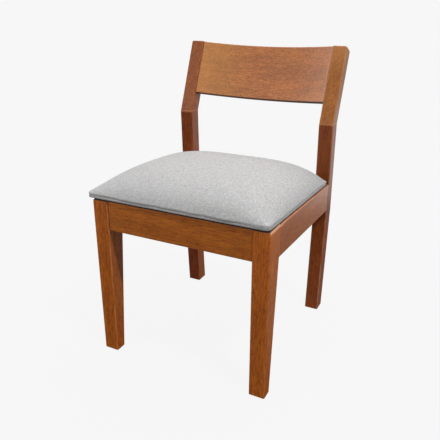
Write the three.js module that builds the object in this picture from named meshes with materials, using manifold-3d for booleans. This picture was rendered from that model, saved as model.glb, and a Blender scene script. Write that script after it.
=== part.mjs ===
// Choir chair: a hardwood frame with a curved backrest between two raked posts, and a crowned, padded seat.
// Lengths are millimetres. +X is to the right of a person who faces the chair, +Y runs to its back and +Z is up.
// While the pieces are made, y = 0 is the front face of the front legs. At the end the whole chair is moved so
// that its origin is the middle of its base.

import * as THREE from 'three';
import { mergeVertices } from 'three/addons/utils/BufferGeometryUtils.js';
import Module from 'manifold-3d';

const wasm = await Module();
wasm.setup();

// Clearances
const jointGap = 0.3; // between two pieces that seat on each other
const overrun = 2; // how far a cutting tool reaches past the wood that it cuts

// Seat frame
const frameWidth = 453; // over the outer faces of the legs
const frameHeight = 418.5; // top of the frame at the front
const frameDepth = 420.5; // front of the front legs to front of the rear posts
const seatDrop = 20.5; // how much lower the frame's top lies at the rear posts
const railHeight = 76.5;
const railThickness = 22;
const frontRailRecess = 2; // behind the legs' front faces
const rearRailRecess = 1; // behind the posts' front faces
const railEdgeRadius = 3;

// Front legs
const legWidth = 41.5;
const legDepth = 55;
const legFootWidth = 39.5;
const legFootDepth = 30.5;
const legEdgeRadius = 2.5;

// Rear posts
const postWidth = 38;
const postDepth = 41; // from the floor to the seat
const postFootSetback = 14; // the foot stands this far behind the seat joint
const postFootInset = 7.5; // the foot stands this far inside the seat joint
const bendHeight = 556.5;
const bendLead = 7; // the bend lies this far in front of the seat joint
const upperDepth = 36.5;
const upperLength = 207;
const backRakeDegrees = 21.7;
const postEdgeRadius = 2.6;

// Eased ends of the legs and posts
const endRadius = 4;
const footEase = 1.2;

// Backrest panel
const panelHeight = 147.3;
const panelTopMargin = 1.2; // below the posts' upper ends
const panelThickness = 18;
const panelEndRecess = 3; // behind the posts' front faces
const panelBow = 20.5; // depth of the curve in the middle
const panelEase = 1.6;

// Dowels
const dowelRadius = 4;
const dowelLength = 32;
const dowelChamfer = 0.8;
const railDowelSpacing = 36;
const backDowelSpacing = 46;
const backDowelCount = 3;

// Corner blocks
const blockArm = 60; // along each rail, past the leg
const blockHeight = 24;
const blockTopDrop = 0.2; // below the frame's top
const blockGrip = 15; // wood between a fixing screw's head and the rail
const seatScrewGrip = 17;
const blockScrewArmShare = 0.58; // where along an arm a fixing screw stands
const seatScrewShare = 0.7; // from the leg's corner to the slanted face

// Screws
const screwRadius = 2;
const screwHeadRadius = 4;
const screwHeadHeight = 2.6;
const screwPointLength = 4;
const blockScrewLength = 29;
const seatScrewBite = 7; // into the seat board
const headClearance = 0.7;

// Seat pad, measured over its cloth. It is screwed on to the left of the middle, as photographed.
const padLeftOverhang = 15; // past the outer face of the left leg
const padRightInset = 3.5; // inside the outer face of the right leg
const padFrontOverhang = 2; // past the front faces of the legs
const padRearGap = 1.5; // in front of the rear posts
const padCornerRadius = 13;
const innerCornerRadius = 2;
const boardThickness = 9;
const clothThickness = 1;
const liningThickness = 0.4;
const liningInset = 3; // inside the rails' inner faces
const liningRearInset = 5; // inside the pad's rear edge
const flapWidth = 48; // cloth turned under the board
const crownHeight = 67;
const foamEdgeHeight = 1; // upright edge of the foam, below its crown
const foldRadius = 2; // of the cloth round the board's lower edge
const lipHeight = 4.6; // of the upright cloth lip
const creaseHeight = 2; // of the crease above the lip
const creaseDepth = 2.5;
const shoulderInset = 1.2; // of the roll above the crease
const crownPower = 3.2; // high values keep the crown flat to near its edge
const crownBlend = 0.66; // low values make its edge steep
const crownRingShares = [0.985, 0.95, 0.89, 0.8, 0.69, 0.56, 0.42, 0.28, 0.14];

// Staples that hold the lining and the turned cloth
const stapleWidth = 11;
const stapleWire = 0.9;
const stapleLegLength = 6;
const stapleInset = 3;
const staplesPerSide = 2;

// Facets
const cornerSteps = 3;
const padCornerSteps = 3;
const padEdgeSteps = 6;
const panelSteps = 20;
const endSteps = 2;
const roundFacets = 10;
const weldDistance = 1e-4;

// Sizes that follow from those above
const halfWidth = frameWidth / 2;
const seatFall = seatDrop / frameDepth;
const backRake = THREE.MathUtils.degToRad(backRakeDegrees);
const frontRailBack = frontRailRecess + railThickness;
const rearRailFront = frameDepth + rearRailRecess;
const sideRailInner = halfWidth - railThickness;
const legInner = halfWidth - legWidth;
const postInner = halfWidth - postWidth;
const bendY = frameDepth - bendLead;
const dowelReach = dowelLength / 2;
const padLeft = -halfWidth - padLeftOverhang;
const padRight = halfWidth - padRightInset;
const padRear = frameDepth - padRearGap;
const padWidth = padRight - padLeft;
const padDepth = padRear + padFrontOverhang;
const padCentreX = (padLeft + padRight) / 2;
const padCentreY = (padRear - padFrontOverhang) / 2;
const liningBottom = jointGap;
const flapBottom = liningBottom + liningThickness + jointGap;
const flapTop = flapBottom + clothThickness;
const boardBottom = flapTop + jointGap;
const foamBottom = boardBottom + boardThickness + jointGap;
const foamShoulder = foamBottom + foamEdgeHeight;
const coverInnerShoulder = foamShoulder + jointGap;
const coverShoulder = coverInnerShoulder + clothThickness;
const coverWallInset = creaseDepth + clothThickness;

// The frame's top falls evenly to the back. What lies on it is shaped level and then laid on that slope.
const seatPlane = new THREE.Matrix4().set(
  1, 0, 0, 0,
  0, 1, 0, 0,
  0, -seatFall, 1, frameHeight,
  0, 0, 0, 1,
);

// The backrest is shaped in its own space: x across, y to the back and z up along the raked posts
const backPlane = new THREE.Matrix4().makeRotationX(-backRake).setPosition(0, bendY, bendHeight);

function onSeat(geometry) {
  return geometry.applyMatrix4(seatPlane);
}

function onBack(geometry) {
  return geometry.applyMatrix4(backPlane);
}

function frameTop(y) {
  return frameHeight - seatFall * y;
}

// Solids

function welded(geometry) {
  const bare = geometry.clone();
  bare.deleteAttribute('normal');
  bare.deleteAttribute('uv');
  return mergeVertices(bare, weldDistance);
}

function toSolid(geometry) {
  const mesh = welded(geometry);
  return new wasm.Manifold(new wasm.Mesh({
    numProp: 3,
    vertProperties: Float32Array.from(mesh.attributes.position.array),
    triVerts: Uint32Array.from(mesh.index.array),
  }));
}

function toGeometry(solid) {
  const mesh = solid.getMesh();
  const geometry = new THREE.BufferGeometry();
  geometry.setAttribute('position', new THREE.BufferAttribute(mesh.vertProperties, mesh.numProp));
  geometry.setIndex(new THREE.BufferAttribute(mesh.triVerts, 1));
  geometry.computeVertexNormals();
  return geometry;
}

function cut(body, tools) {
  return toGeometry(tools.reduce((rest, tool) => rest.subtract(toSolid(tool)), toSolid(body)));
}

// The same body on the other side of the chair's middle
function mirrored(geometry) {
  const other = welded(geometry).scale(-1, 1, 1);
  const index = other.index;
  for (let i = 0; i < index.count; i += 3) {
    const kept = index.getX(i);
    index.setX(i, index.getX(i + 1));
    index.setX(i + 1, kept);
  }
  return other;
}

// Joins a row of loops with equal point counts into a closed skin, where a loop of one point closes an end
function skin(loops) {
  const positions = [];
  const index = [];
  const starts = loops.map((loop) => {
    const start = positions.length / 3;
    loop.forEach((point) => positions.push(point.x, point.y, point.z));
    return start;
  });
  for (let row = 0; row < loops.length - 1; row += 1) {
    const low = loops[row].length;
    const high = loops[row + 1].length;
    const count = Math.max(low, high);
    for (let i = 0; i < count; i += 1) {
      const next = (i + 1) % count;
      const a = starts[row] + (i % low);
      const b = starts[row] + (next % low);
      const c = starts[row + 1] + (next % high);
      const d = starts[row + 1] + (i % high);
      if (low > 1) index.push(a, b, c);
      if (high > 1) index.push(a, c, d);
    }
  }
  const geometry = new THREE.BufferGeometry();
  geometry.setAttribute('position', new THREE.Float32BufferAttribute(positions, 3));
  geometry.setIndex(index);
  geometry.computeVertexNormals();
  return geometry;
}

function middle(loop) {
  const centre = new THREE.Vector3();
  loop.forEach((point) => centre.add(point));
  return [centre.divideScalar(loop.length)];
}

// Counter-clockwise points of a rectangle with rounded corners, with each side split into a number of lengths
function roundedLoop(low, high, radius, steps, sideSteps = 1) {
  const corners = [[high.x, low.y], [high.x, high.y], [low.x, high.y], [low.x, low.y]];
  const arcs = corners.map(([x, y], turn) => {
    const centreX = x === high.x ? x - radius : x + radius;
    const centreY = y === high.y ? y - radius : y + radius;
    return Array.from({ length: steps + 1 }, (_, i) => {
      const angle = ((turn - 1) + i / steps) * (Math.PI / 2);
      return new THREE.Vector2(centreX + radius * Math.cos(angle), centreY + radius * Math.sin(angle));
    });
  });
  return arcs.flatMap((arc, turn) => {
    const last = arc[arc.length - 1];
    const next = arcs[(turn + 1) % arcs.length][0];
    const side = Array.from({ length: sideSteps - 1 }, (_, i) => last.clone().lerp(next, (i + 1) / sideSteps));
    return [...arc, ...side];
  });
}

function roundedShape(low, high, radius, steps) {
  return new THREE.Shape(roundedLoop(low, high, radius, steps));
}

function plate(low, high, radius, bottom, thickness) {
  const geometry = new THREE.ExtrudeGeometry(roundedShape(low, high, radius, cornerSteps), {
    depth: thickness,
    bevelEnabled: false,
  });
  return geometry.translate(0, 0, bottom);
}

// A cylinder from one point to another
function rod(from, to, radius) {
  const along = to.clone().sub(from);
  const geometry = new THREE.CylinderGeometry(radius, radius, along.length(), roundFacets);
  const turn = new THREE.Quaternion().setFromUnitVectors(new THREE.Vector3(0, 1, 0), along.clone().normalize());
  const centre = from.clone().add(to).divideScalar(2);
  return geometry.applyQuaternion(turn).translate(centre.x, centre.y, centre.z);
}

// A turned piece whose profile is given as radius and distance along its axis from the first point
function turned(profile, from, direction) {
  const points = profile.map(([radius, along]) => new THREE.Vector2(radius, along));
  const geometry = new THREE.LatheGeometry(points, roundFacets);
  const turn = new THREE.Quaternion().setFromUnitVectors(new THREE.Vector3(0, 1, 0), direction);
  return geometry.applyQuaternion(turn).translate(from.x, from.y, from.z);
}

// Legs and posts

// A bar of rounded section through a list of stations. A station has its outer face, its width across the chair,
// and its front and rear edges as y and z.
function bar(stations) {
  const loops = stations.map(({ outer, width, front, rear, radius, inset }) => {
    const depth = front.distanceTo(rear);
    const low = new THREE.Vector2(outer - width + inset, inset);
    const high = new THREE.Vector2(outer - inset, depth - inset);
    return roundedLoop(low, high, radius - inset, cornerSteps).map((point) => {
      const place = front.clone().lerp(rear, point.y / depth);
      return new THREE.Vector3(point.x, place.x, place.y);
    });
  });
  return skin([middle(loops[0]), ...loops, middle(loops[loops.length - 1])]);
}

// The last stations of a bar, which round over its upper end
function easedEnd(station, direction) {
  return Array.from({ length: endSteps + 1 }, (_, i) => {
    const angle = (i / (endSteps + 1)) * (Math.PI / 2);
    const back = direction.clone().multiplyScalar(endRadius * (1 - Math.sin(angle)));
    return {
      ...station,
      front: station.front.clone().sub(back),
      rear: station.rear.clone().sub(back),
      inset: endRadius * (1 - Math.cos(angle)),
    };
  });
}

// The first stations of a bar, with a small chamfer round its sole
function easedFoot(station) {
  const rise = new THREE.Vector2(0, footEase);
  const above = { ...station, front: station.front.clone().add(rise), rear: station.rear.clone().add(rise) };
  return [{ ...station, inset: footEase }, above];
}

function frontLeg() {
  const outer = halfWidth;
  const radius = legEdgeRadius;
  const foot = {
    outer, width: legFootWidth, radius, inset: 0,
    front: new THREE.Vector2(0, 0), rear: new THREE.Vector2(legFootDepth, 0),
  };
  const underRail = {
    outer, width: legWidth, radius, inset: 0,
    front: new THREE.Vector2(0, frameTop(0) - railHeight),
    rear: new THREE.Vector2(legDepth, frameTop(legDepth) - railHeight),
  };
  const top = {
    ...underRail,
    front: new THREE.Vector2(0, frameTop(0)),
    rear: new THREE.Vector2(legDepth, frameTop(legDepth)),
  };
  return bar([...easedFoot(foot), underRail, ...easedEnd(top, new THREE.Vector2(0, 1))]);
}

function rearPost() {
  const width = postWidth;
  const radius = postEdgeRadius;
  const railTop = frameTop(frameDepth);
  const railBottom = railTop - railHeight;
  const upward = new THREE.Vector2(Math.sin(backRake), Math.cos(backRake));
  const across = new THREE.Vector2(Math.cos(backRake), -Math.sin(backRake));
  const station = (outer, front, rear) => ({ outer, width, radius, inset: 0, front, rear });
  const footY = frameDepth + postFootSetback;
  const foot = station(halfWidth - postFootInset,
    new THREE.Vector2(footY, 0), new THREE.Vector2(footY + postDepth, 0));
  const underRail = station(halfWidth,
    new THREE.Vector2(frameDepth, railBottom), new THREE.Vector2(frameDepth + postDepth, railBottom));
  const bendFront = new THREE.Vector2(bendY, bendHeight);
  const bendRear = new THREE.Vector2(bendY + upperDepth / Math.cos(backRake), bendHeight);
  const riseShare = railHeight / (bendHeight - railBottom);
  const atRailTop = station(halfWidth,
    new THREE.Vector2(frameDepth, railTop), underRail.rear.clone().lerp(bendRear, riseShare));
  const bend = station(halfWidth, bendFront, bendRear);
  const topFront = bendFront.clone().addScaledVector(upward, upperLength);
  const top = station(halfWidth, topFront, topFront.clone().addScaledVector(across, upperDepth));
  return bar([...easedFoot(foot), underRail, atRailTop, bend, ...easedEnd(top, upward)]);
}

// Rails

function railSection() {
  const low = new THREE.Vector2(0, -railHeight);
  const high = new THREE.Vector2(railThickness, 0);
  return roundedShape(low, high, railEdgeRadius, cornerSteps);
}

function railBody(length) {
  return new THREE.ExtrudeGeometry(railSection(), { depth: length, bevelEnabled: false });
}

// A rail across the chair, from y = front, between two faces at plus and minus reach
function crossRail(front, reach) {
  const length = (reach - jointGap) * 2;
  const geometry = railBody(length).rotateX(Math.PI / 2).rotateZ(Math.PI / 2);
  return onSeat(geometry.translate(-length / 2, front, 0));
}

function sideRail() {
  const length = frameDepth - legDepth - jointGap * 2;
  const geometry = railBody(length).rotateX(Math.PI / 2);
  return onSeat(geometry.translate(sideRailInner, legDepth + jointGap + length, 0));
}

// Backrest panel

// The front face is an arc through both ends and the middle. The rear face keeps the same centre.
function backrestPanel() {
  const half = postInner - jointGap;
  const arcRadius = (half * half + panelBow * panelBow) / (2 * panelBow);
  const centreY = panelEndRecess + panelBow - arcRadius;
  const arc = (radius, reach) => {
    const spread = Math.asin(reach / radius);
    return Array.from({ length: panelSteps + 1 }, (_, i) => {
      const angle = spread * (2 * i / panelSteps - 1);
      return new THREE.Vector2(radius * Math.sin(angle), centreY + radius * Math.cos(angle));
    });
  };
  const front = arc(arcRadius + panelEase, half - panelEase);
  const rear = arc(arcRadius + panelThickness - panelEase, half - panelEase);
  const outline = new THREE.Shape([...front, ...rear.reverse()]);
  const geometry = new THREE.ExtrudeGeometry(outline, {
    depth: panelHeight - panelEase * 2,
    bevelEnabled: true,
    bevelSize: panelEase,
    bevelThickness: panelEase,
    bevelSegments: endSteps,
  });
  return onBack(geometry.translate(0, 0, panelBottom() + panelEase));
}

function panelBottom() {
  return upperLength - panelTopMargin - panelHeight;
}

// Dowels

function dowel(centre, direction, extra = 0) {
  const radius = dowelRadius + extra;
  const reach = dowelReach + extra;
  const chamfer = dowelChamfer;
  const profile = [
    [0, -reach], [radius - chamfer, -reach], [radius, chamfer - reach],
    [radius, reach - chamfer], [radius - chamfer, reach], [0, reach],
  ];
  return turned(profile, centre, direction);
}

const acrossChair = new THREE.Vector3(1, 0, 0);
const alongChair = new THREE.Vector3(0, 1, 0);

function railDowelHeights() {
  return [-0.5, 0.5].map((side) => side * railDowelSpacing - railHeight / 2);
}

// Dowel places on the right of the chair, each set with the axis that it lies along
function crossRailDowels(face, y, extra = 0) {
  return railDowelHeights().map((z) => onSeat(dowel(new THREE.Vector3(face, y, z), acrossChair, extra)));
}

function sideRailDowels(face, extra = 0) {
  const x = halfWidth - railThickness / 2;
  return railDowelHeights().map((z) => onSeat(dowel(new THREE.Vector3(x, face, z), alongChair, extra)));
}

function backDowels(extra = 0) {
  const y = panelEndRecess + panelThickness / 2;
  const centreZ = panelBottom() + panelHeight / 2;
  return Array.from({ length: backDowelCount }, (_, i) => {
    const z = centreZ + (i - (backDowelCount - 1) / 2) * backDowelSpacing;
    return onBack(dowel(new THREE.Vector3(postInner, y, z), acrossChair, extra));
  });
}

// Screws

function screw(seat, direction, length) {
  const profile = [
    [0, length], [screwRadius, length - screwPointLength], [screwRadius, 0], [screwHeadRadius, 0],
    [screwHeadRadius, -screwHeadHeight / 2], [screwHeadRadius / 2, -screwHeadHeight], [0, -screwHeadHeight],
  ];
  return turned(profile.reverse(), seat, direction);
}

// The pilot or clearance hole of a screw, and the wide pocket that takes its head
function screwHole(seat, direction, length) {
  const tip = seat.clone().addScaledVector(direction, length + jointGap);
  return rod(seat, tip, screwRadius + jointGap);
}

function headPocket(seat, direction, depth) {
  const start = seat.clone().addScaledVector(direction, jointGap);
  const mouth = seat.clone().addScaledVector(direction, -depth);
  return rod(start, mouth, screwHeadRadius + headClearance);
}

// Corner blocks

// Each corner on the right has the inner corner of its leg or post, the face of its cross rail, and the way
// from that rail into the chair
const corners = {
  front: { leg: new THREE.Vector2(legInner - jointGap, legDepth + jointGap), railFace: frontRailBack, way: 1 },
  rear: { leg: new THREE.Vector2(postInner - jointGap, frameDepth - jointGap), railFace: rearRailFront, way: -1 },
};

// The block's slanted face runs from the cross rail to the side rail
function slantedFace({ leg, railFace, way }) {
  const start = new THREE.Vector2(leg.x - blockArm, railFace + way * jointGap);
  const end = new THREE.Vector2(sideRailInner - jointGap, leg.y + way * blockArm);
  return { start, end };
}

function blockBody(corner) {
  const { leg } = corner;
  const { start, end } = slantedFace(corner);
  const outline = [start, end, new THREE.Vector2(end.x, leg.y), leg, new THREE.Vector2(leg.x, start.y)];
  const geometry = new THREE.ExtrudeGeometry(new THREE.Shape(outline), {
    depth: blockHeight,
    bevelEnabled: false,
  });
  return geometry.translate(0, 0, -blockTopDrop - blockHeight);
}

function blockScrewSeats({ leg, railFace, way }) {
  const level = -blockTopDrop - blockHeight / 2;
  const reach = blockArm * blockScrewArmShare;
  return [
    {
      seat: new THREE.Vector3(leg.x - reach, railFace + way * (jointGap + blockGrip), level),
      direction: new THREE.Vector3(0, -way, 0),
    },
    {
      seat: new THREE.Vector3(sideRailInner - jointGap - blockGrip, leg.y + way * reach, level),
      direction: acrossChair,
    },
  ];
}

function seatScrewSeat(corner) {
  const { start, end } = slantedFace(corner);
  const along = end.clone().sub(start).normalize();
  const foot = start.clone().addScaledVector(along, corner.leg.clone().sub(start).dot(along));
  const place = corner.leg.clone().lerp(foot, seatScrewShare);
  return new THREE.Vector3(place.x, place.y, -blockTopDrop - seatScrewGrip);
}

const upward = new THREE.Vector3(0, 0, 1);
const seatScrewLength = seatScrewGrip + blockTopDrop + boardBottom + seatScrewBite;

function blockScrewHoles(corner) {
  return blockScrewSeats(corner).map(({ seat, direction }) => screwHole(seat, direction, blockScrewLength));
}

function seatScrewHole(corner) {
  return screwHole(seatScrewSeat(corner), upward, seatScrewLength);
}

function cornerBlock(corner) {
  const pockets = blockScrewSeats(corner)
    .map(({ seat, direction }) => headPocket(seat, direction, blockArm));
  const seatPocket = headPocket(seatScrewSeat(corner), upward, blockHeight);
  const tools = [...blockScrewHoles(corner), ...pockets, seatScrewHole(corner), seatPocket];
  return onSeat(cut(blockBody(corner), tools));
}

// Seat pad

const padLow = new THREE.Vector2(padLeft, -padFrontOverhang);
const padHigh = new THREE.Vector2(padRight, padRear);

function shrunk(inset) {
  return [padLow.clone().addScalar(inset), padHigh.clone().subScalar(inset)];
}

function padRadius(inset) {
  return Math.max(padCornerRadius - inset, innerCornerRadius);
}

function padLoop(inset) {
  const [low, high] = shrunk(inset);
  return roundedLoop(low, high, padRadius(inset), padCornerSteps, padEdgeSteps);
}

function levelLoop(inset, z) {
  return padLoop(inset).map((point) => new THREE.Vector3(point.x, point.y, z));
}

// Height of the crown as a share of its middle, where across and along run from -1 to 1 over the pad
function crownShare(across, along) {
  const fall = (1 - Math.abs(across) ** crownPower) * (1 - Math.abs(along) ** crownPower);
  return Math.max(fall, 0) ** crownBlend;
}

// Loops over the crown, from its shoulder to the single point in its middle
function crownLoops(inset, shoulder) {
  const half = new THREE.Vector2(padWidth / 2 - inset, padDepth / 2 - inset);
  const rim = padLoop(inset);
  return [...crownRingShares, 0].map((share) => {
    const loop = rim.map((point) => {
      const x = (point.x - padCentreX) * share;
      const y = (point.y - padCentreY) * share;
      const rise = crownHeight * crownShare(x / half.x, y / half.y);
      return new THREE.Vector3(padCentreX + x, padCentreY + y, shoulder + rise);
    });
    return share === 0 ? loop.slice(0, 1) : loop;
  });
}

function seatScrewTools() {
  return Object.values(corners).flatMap((corner) => {
    const hole = seatScrewHole(corner);
    return [hole, mirrored(hole)];
  });
}

function seatBoard() {
  const [low, high] = shrunk(coverWallInset + jointGap);
  const radius = padRadius(coverWallInset + jointGap);
  const body = plate(low, high, radius, boardBottom, boardThickness);
  return onSeat(cut(body, [...seatScrewTools(), ...stapleHoles()]));
}

// A crowned body over the sides that its loops give
function pillow(sides, inset, shoulder) {
  return skin([middle(sides[0]), ...sides, levelLoop(inset, shoulder), ...crownLoops(inset, shoulder)]);
}

function seatFoam() {
  const inset = coverWallInset + jointGap;
  return onSeat(pillow([levelLoop(inset, foamBottom)], inset, foamShoulder));
}

// The cloth goes over the foam, tucks in at a crease, forms a lip round the board and is turned under it
function seatCover() {
  const lipTop = flapBottom + foldRadius + lipHeight;
  const fold = foldRadius * (1 - Math.SQRT1_2);
  const sides = [
    levelLoop(foldRadius, flapBottom),
    levelLoop(fold, flapBottom + fold),
    levelLoop(0, flapBottom + foldRadius),
    levelLoop(0, lipTop),
    levelLoop(creaseDepth, lipTop + creaseHeight),
  ];
  const inside = pillow([levelLoop(coverWallInset, flapTop)], coverWallInset, coverInnerShoulder);
  const opening = plate(...shrunk(flapWidth), innerCornerRadius, flapBottom - overrun, overrun * 2);
  const body = pillow(sides, shoulderInset, coverShoulder);
  return onSeat(cut(body, [inside, opening, ...seatScrewTools(), ...stapleHoles()]));
}

const liningLow = new THREE.Vector2(liningInset - sideRailInner, frontRailBack + liningInset);
const liningHigh = new THREE.Vector2(sideRailInner - liningInset, padRear - liningRearInset);

function seatLining() {
  const body = plate(liningLow, liningHigh, padRadius(liningInset), liningBottom, liningThickness);
  return onSeat(cut(body, [...seatScrewTools(), ...stapleHoles()]));
}

// Staples

// Places round the lining, between the corner blocks, each turned so that the staple lies along the lining's edge
function staplePlaces() {
  const low = liningLow.clone().addScalar(stapleInset);
  const high = liningHigh.clone().subScalar(stapleInset);
  const front = slantedFace(corners.front);
  const rear = slantedFace(corners.rear);
  const shares = Array.from({ length: staplesPerSide }, (_, i) => (i + 0.5) / staplesPerSide);
  return shares.flatMap((share) => {
    const x = THREE.MathUtils.lerp(-front.start.x, front.start.x, share);
    const y = THREE.MathUtils.lerp(front.end.y, rear.end.y, share);
    return [
      { x, y: low.y, turn: 0 }, { x, y: high.y, turn: 0 },
      { x: low.x, y, turn: Math.PI / 2 }, { x: high.x, y, turn: Math.PI / 2 },
    ];
  });
}

// The two legs of a staple, widened all round for their holes
function stapleLegs({ x, y, turn }, extra) {
  const wire = stapleWire + extra * 2;
  return [-1, 1].map((side) => {
    const low = liningBottom - jointGap - extra;
    const high = boardBottom + stapleLegLength + extra;
    const leg = new THREE.BoxGeometry(wire, wire, high - low);
    leg.translate(side * (stapleWidth - stapleWire) / 2, 0, (low + high) / 2);
    return leg.rotateZ(turn).translate(x, y, 0);
  });
}

function stapleHoles() {
  return staplePlaces().flatMap((place) => stapleLegs(place, jointGap));
}

function staple(place) {
  const top = liningBottom - jointGap;
  const crown = new THREE.BoxGeometry(stapleWidth, stapleWire, stapleWire);
  crown.translate(0, 0, top - stapleWire / 2).rotateZ(place.turn).translate(place.x, place.y, 0);
  const [left, right] = stapleLegs(place, 0).map(toSolid);
  return onSeat(toGeometry(toSolid(crown).add(left).add(right)));
}

// Cuts for the joints of each piece of the frame

function legHoles() {
  return [
    ...crossRailDowels(legInner, frontRailRecess + railThickness / 2, jointGap),
    ...sideRailDowels(legDepth, jointGap),
  ];
}

function postHoles() {
  return [
    ...crossRailDowels(postInner, rearRailFront + railThickness / 2, jointGap),
    ...sideRailDowels(frameDepth, jointGap),
    ...backDowels(jointGap),
  ];
}

function bothSides(geometries) {
  return [...geometries, ...geometries.map(mirrored)];
}

function crossRailScrews(corner) {
  const [intoCrossRail] = blockScrewHoles(corner);
  return bothSides([onSeat(intoCrossRail)]);
}

function sideRailScrews() {
  return Object.values(corners).map((corner) => onSeat(blockScrewHoles(corner)[1]));
}

// Materials

function material(colour, roughness, metalness = 0) {
  return new THREE.MeshStandardMaterial({ color: colour, roughness, metalness });
}

const stainedWood = () => material(0x87481c, 0.42);
const backWood = () => material(0xb4784e, 0.42);
const plainWood = () => material(0xb98b5a, 0.7);
const dowelWood = () => material(0xc79e68, 0.75);
const greyCloth = () => material(0xc9c8c6, 0.95);
const foam = () => material(0xe6dcb8, 0.95);
const liningCloth = () => material(0x1d1d1f, 0.95);
const steel = () => material(0xa8a9ab, 0.35, 1);

// Assembly

const chair = new THREE.Group();

function place(name, geometry, finish) {
  const mesh = new THREE.Mesh(geometry, finish);
  mesh.name = name;
  chair.add(mesh);
}

function placePair(name, geometry, finish) {
  place(`${name}_left`, mirrored(geometry), finish());
  place(`${name}_right`, geometry, finish());
}

// Numbered pieces on the right, each with its twin on the left
function placePairs(name, geometries, finish) {
  geometries.forEach((geometry, i) => {
    place(`${name}_left_${i + 1}`, mirrored(geometry), finish());
    place(`${name}_right_${i + 1}`, geometry, finish());
  });
}

placePair('front_leg', cut(frontLeg(), legHoles()), stainedWood);
placePair('rear_post', cut(rearPost(), postHoles()), stainedWood);

const frontRailTools = [
  ...bothSides(crossRailDowels(legInner, frontRailRecess + railThickness / 2, jointGap)),
  ...crossRailScrews(corners.front),
];
place('front_rail', cut(crossRail(frontRailRecess, legInner), frontRailTools), stainedWood());

const rearRailTools = [
  ...bothSides(crossRailDowels(postInner, rearRailFront + railThickness / 2, jointGap)),
  ...crossRailScrews(corners.rear),
];
place('rear_rail', cut(crossRail(rearRailFront, postInner), rearRailTools), stainedWood());

const sideRailTools = [
  ...sideRailDowels(legDepth, jointGap), ...sideRailDowels(frameDepth, jointGap), ...sideRailScrews(),
];
placePair('side_rail', cut(sideRail(), sideRailTools), stainedWood);

place('backrest_panel', cut(backrestPanel(), bothSides(backDowels(jointGap))), backWood());

placePairs('front_rail_dowel', crossRailDowels(legInner, frontRailRecess + railThickness / 2), dowelWood);
placePairs('rear_rail_dowel', crossRailDowels(postInner, rearRailFront + railThickness / 2), dowelWood);
placePairs('side_rail_dowel', [...sideRailDowels(legDepth), ...sideRailDowels(frameDepth)], dowelWood);
placePairs('backrest_dowel', backDowels(), dowelWood);

for (const [name, corner] of Object.entries(corners)) {
  const screws = blockScrewSeats(corner)
    .map(({ seat, direction }) => onSeat(screw(seat, direction, blockScrewLength)));
  placePair(`corner_block_${name}`, cornerBlock(corner), plainWood);
  placePairs(`block_screw_${name}`, screws, steel);
  placePair(`seat_screw_${name}`, onSeat(screw(seatScrewSeat(corner), upward, seatScrewLength)), steel);
}

place('seat_board', seatBoard(), plainWood());
place('seat_foam', seatFoam(), foam());
place('seat_cover', seatCover(), greyCloth());
place('seat_lining', seatLining(), liningCloth());
staplePlaces().forEach((spot, i) => place(`seat_staple_${i + 1}`, staple(spot), steel()));

// The origin is the middle of the chair's base
const model = new THREE.Group();
model.add(chair);
const box = new THREE.Box3().setFromObject(chair);
chair.position.set(-(box.min.x + box.max.x) / 2, -(box.min.y + box.max.y) / 2, -box.min.z);

export default model;
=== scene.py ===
import math

import bmesh
import bpy
from mathutils import Matrix, Vector, noise


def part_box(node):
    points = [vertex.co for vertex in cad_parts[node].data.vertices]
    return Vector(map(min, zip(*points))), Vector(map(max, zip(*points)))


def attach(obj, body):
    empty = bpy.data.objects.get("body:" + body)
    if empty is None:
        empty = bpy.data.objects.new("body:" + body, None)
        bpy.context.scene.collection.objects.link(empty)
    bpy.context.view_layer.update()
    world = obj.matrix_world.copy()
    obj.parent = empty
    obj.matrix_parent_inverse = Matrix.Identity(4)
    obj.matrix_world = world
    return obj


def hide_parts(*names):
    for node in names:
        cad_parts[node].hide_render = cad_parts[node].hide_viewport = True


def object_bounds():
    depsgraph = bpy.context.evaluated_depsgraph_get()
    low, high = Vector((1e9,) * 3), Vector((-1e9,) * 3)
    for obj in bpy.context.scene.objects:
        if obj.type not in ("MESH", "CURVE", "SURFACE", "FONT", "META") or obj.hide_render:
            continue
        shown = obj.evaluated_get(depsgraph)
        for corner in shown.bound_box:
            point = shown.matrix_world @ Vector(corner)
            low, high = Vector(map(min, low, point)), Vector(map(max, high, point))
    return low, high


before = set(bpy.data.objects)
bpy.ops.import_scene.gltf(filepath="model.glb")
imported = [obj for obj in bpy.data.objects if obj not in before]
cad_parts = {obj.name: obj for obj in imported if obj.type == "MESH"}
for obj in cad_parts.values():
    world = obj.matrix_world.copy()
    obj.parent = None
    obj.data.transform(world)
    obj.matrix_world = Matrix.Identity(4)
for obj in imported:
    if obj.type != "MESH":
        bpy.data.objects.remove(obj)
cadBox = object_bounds()

# Directions and places that the whole script measures from
mm = 0.001
across, depthways, upward = Vector((1, 0, 0)), Vector((0, 1, 0)), Vector((0, 0, 1))
leftLeg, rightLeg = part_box("front_leg_left"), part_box("front_leg_right")
frontMiddle = Vector(((leftLeg[0].x + rightLeg[1].x) / 2, leftLeg[0].y, 0))
print("frame loaded,", len(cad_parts), "nodes")


def addObject(name, data):
    thing = bpy.data.objects.new(name, data)
    bpy.context.scene.collection.objects.link(thing)
    return thing


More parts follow.
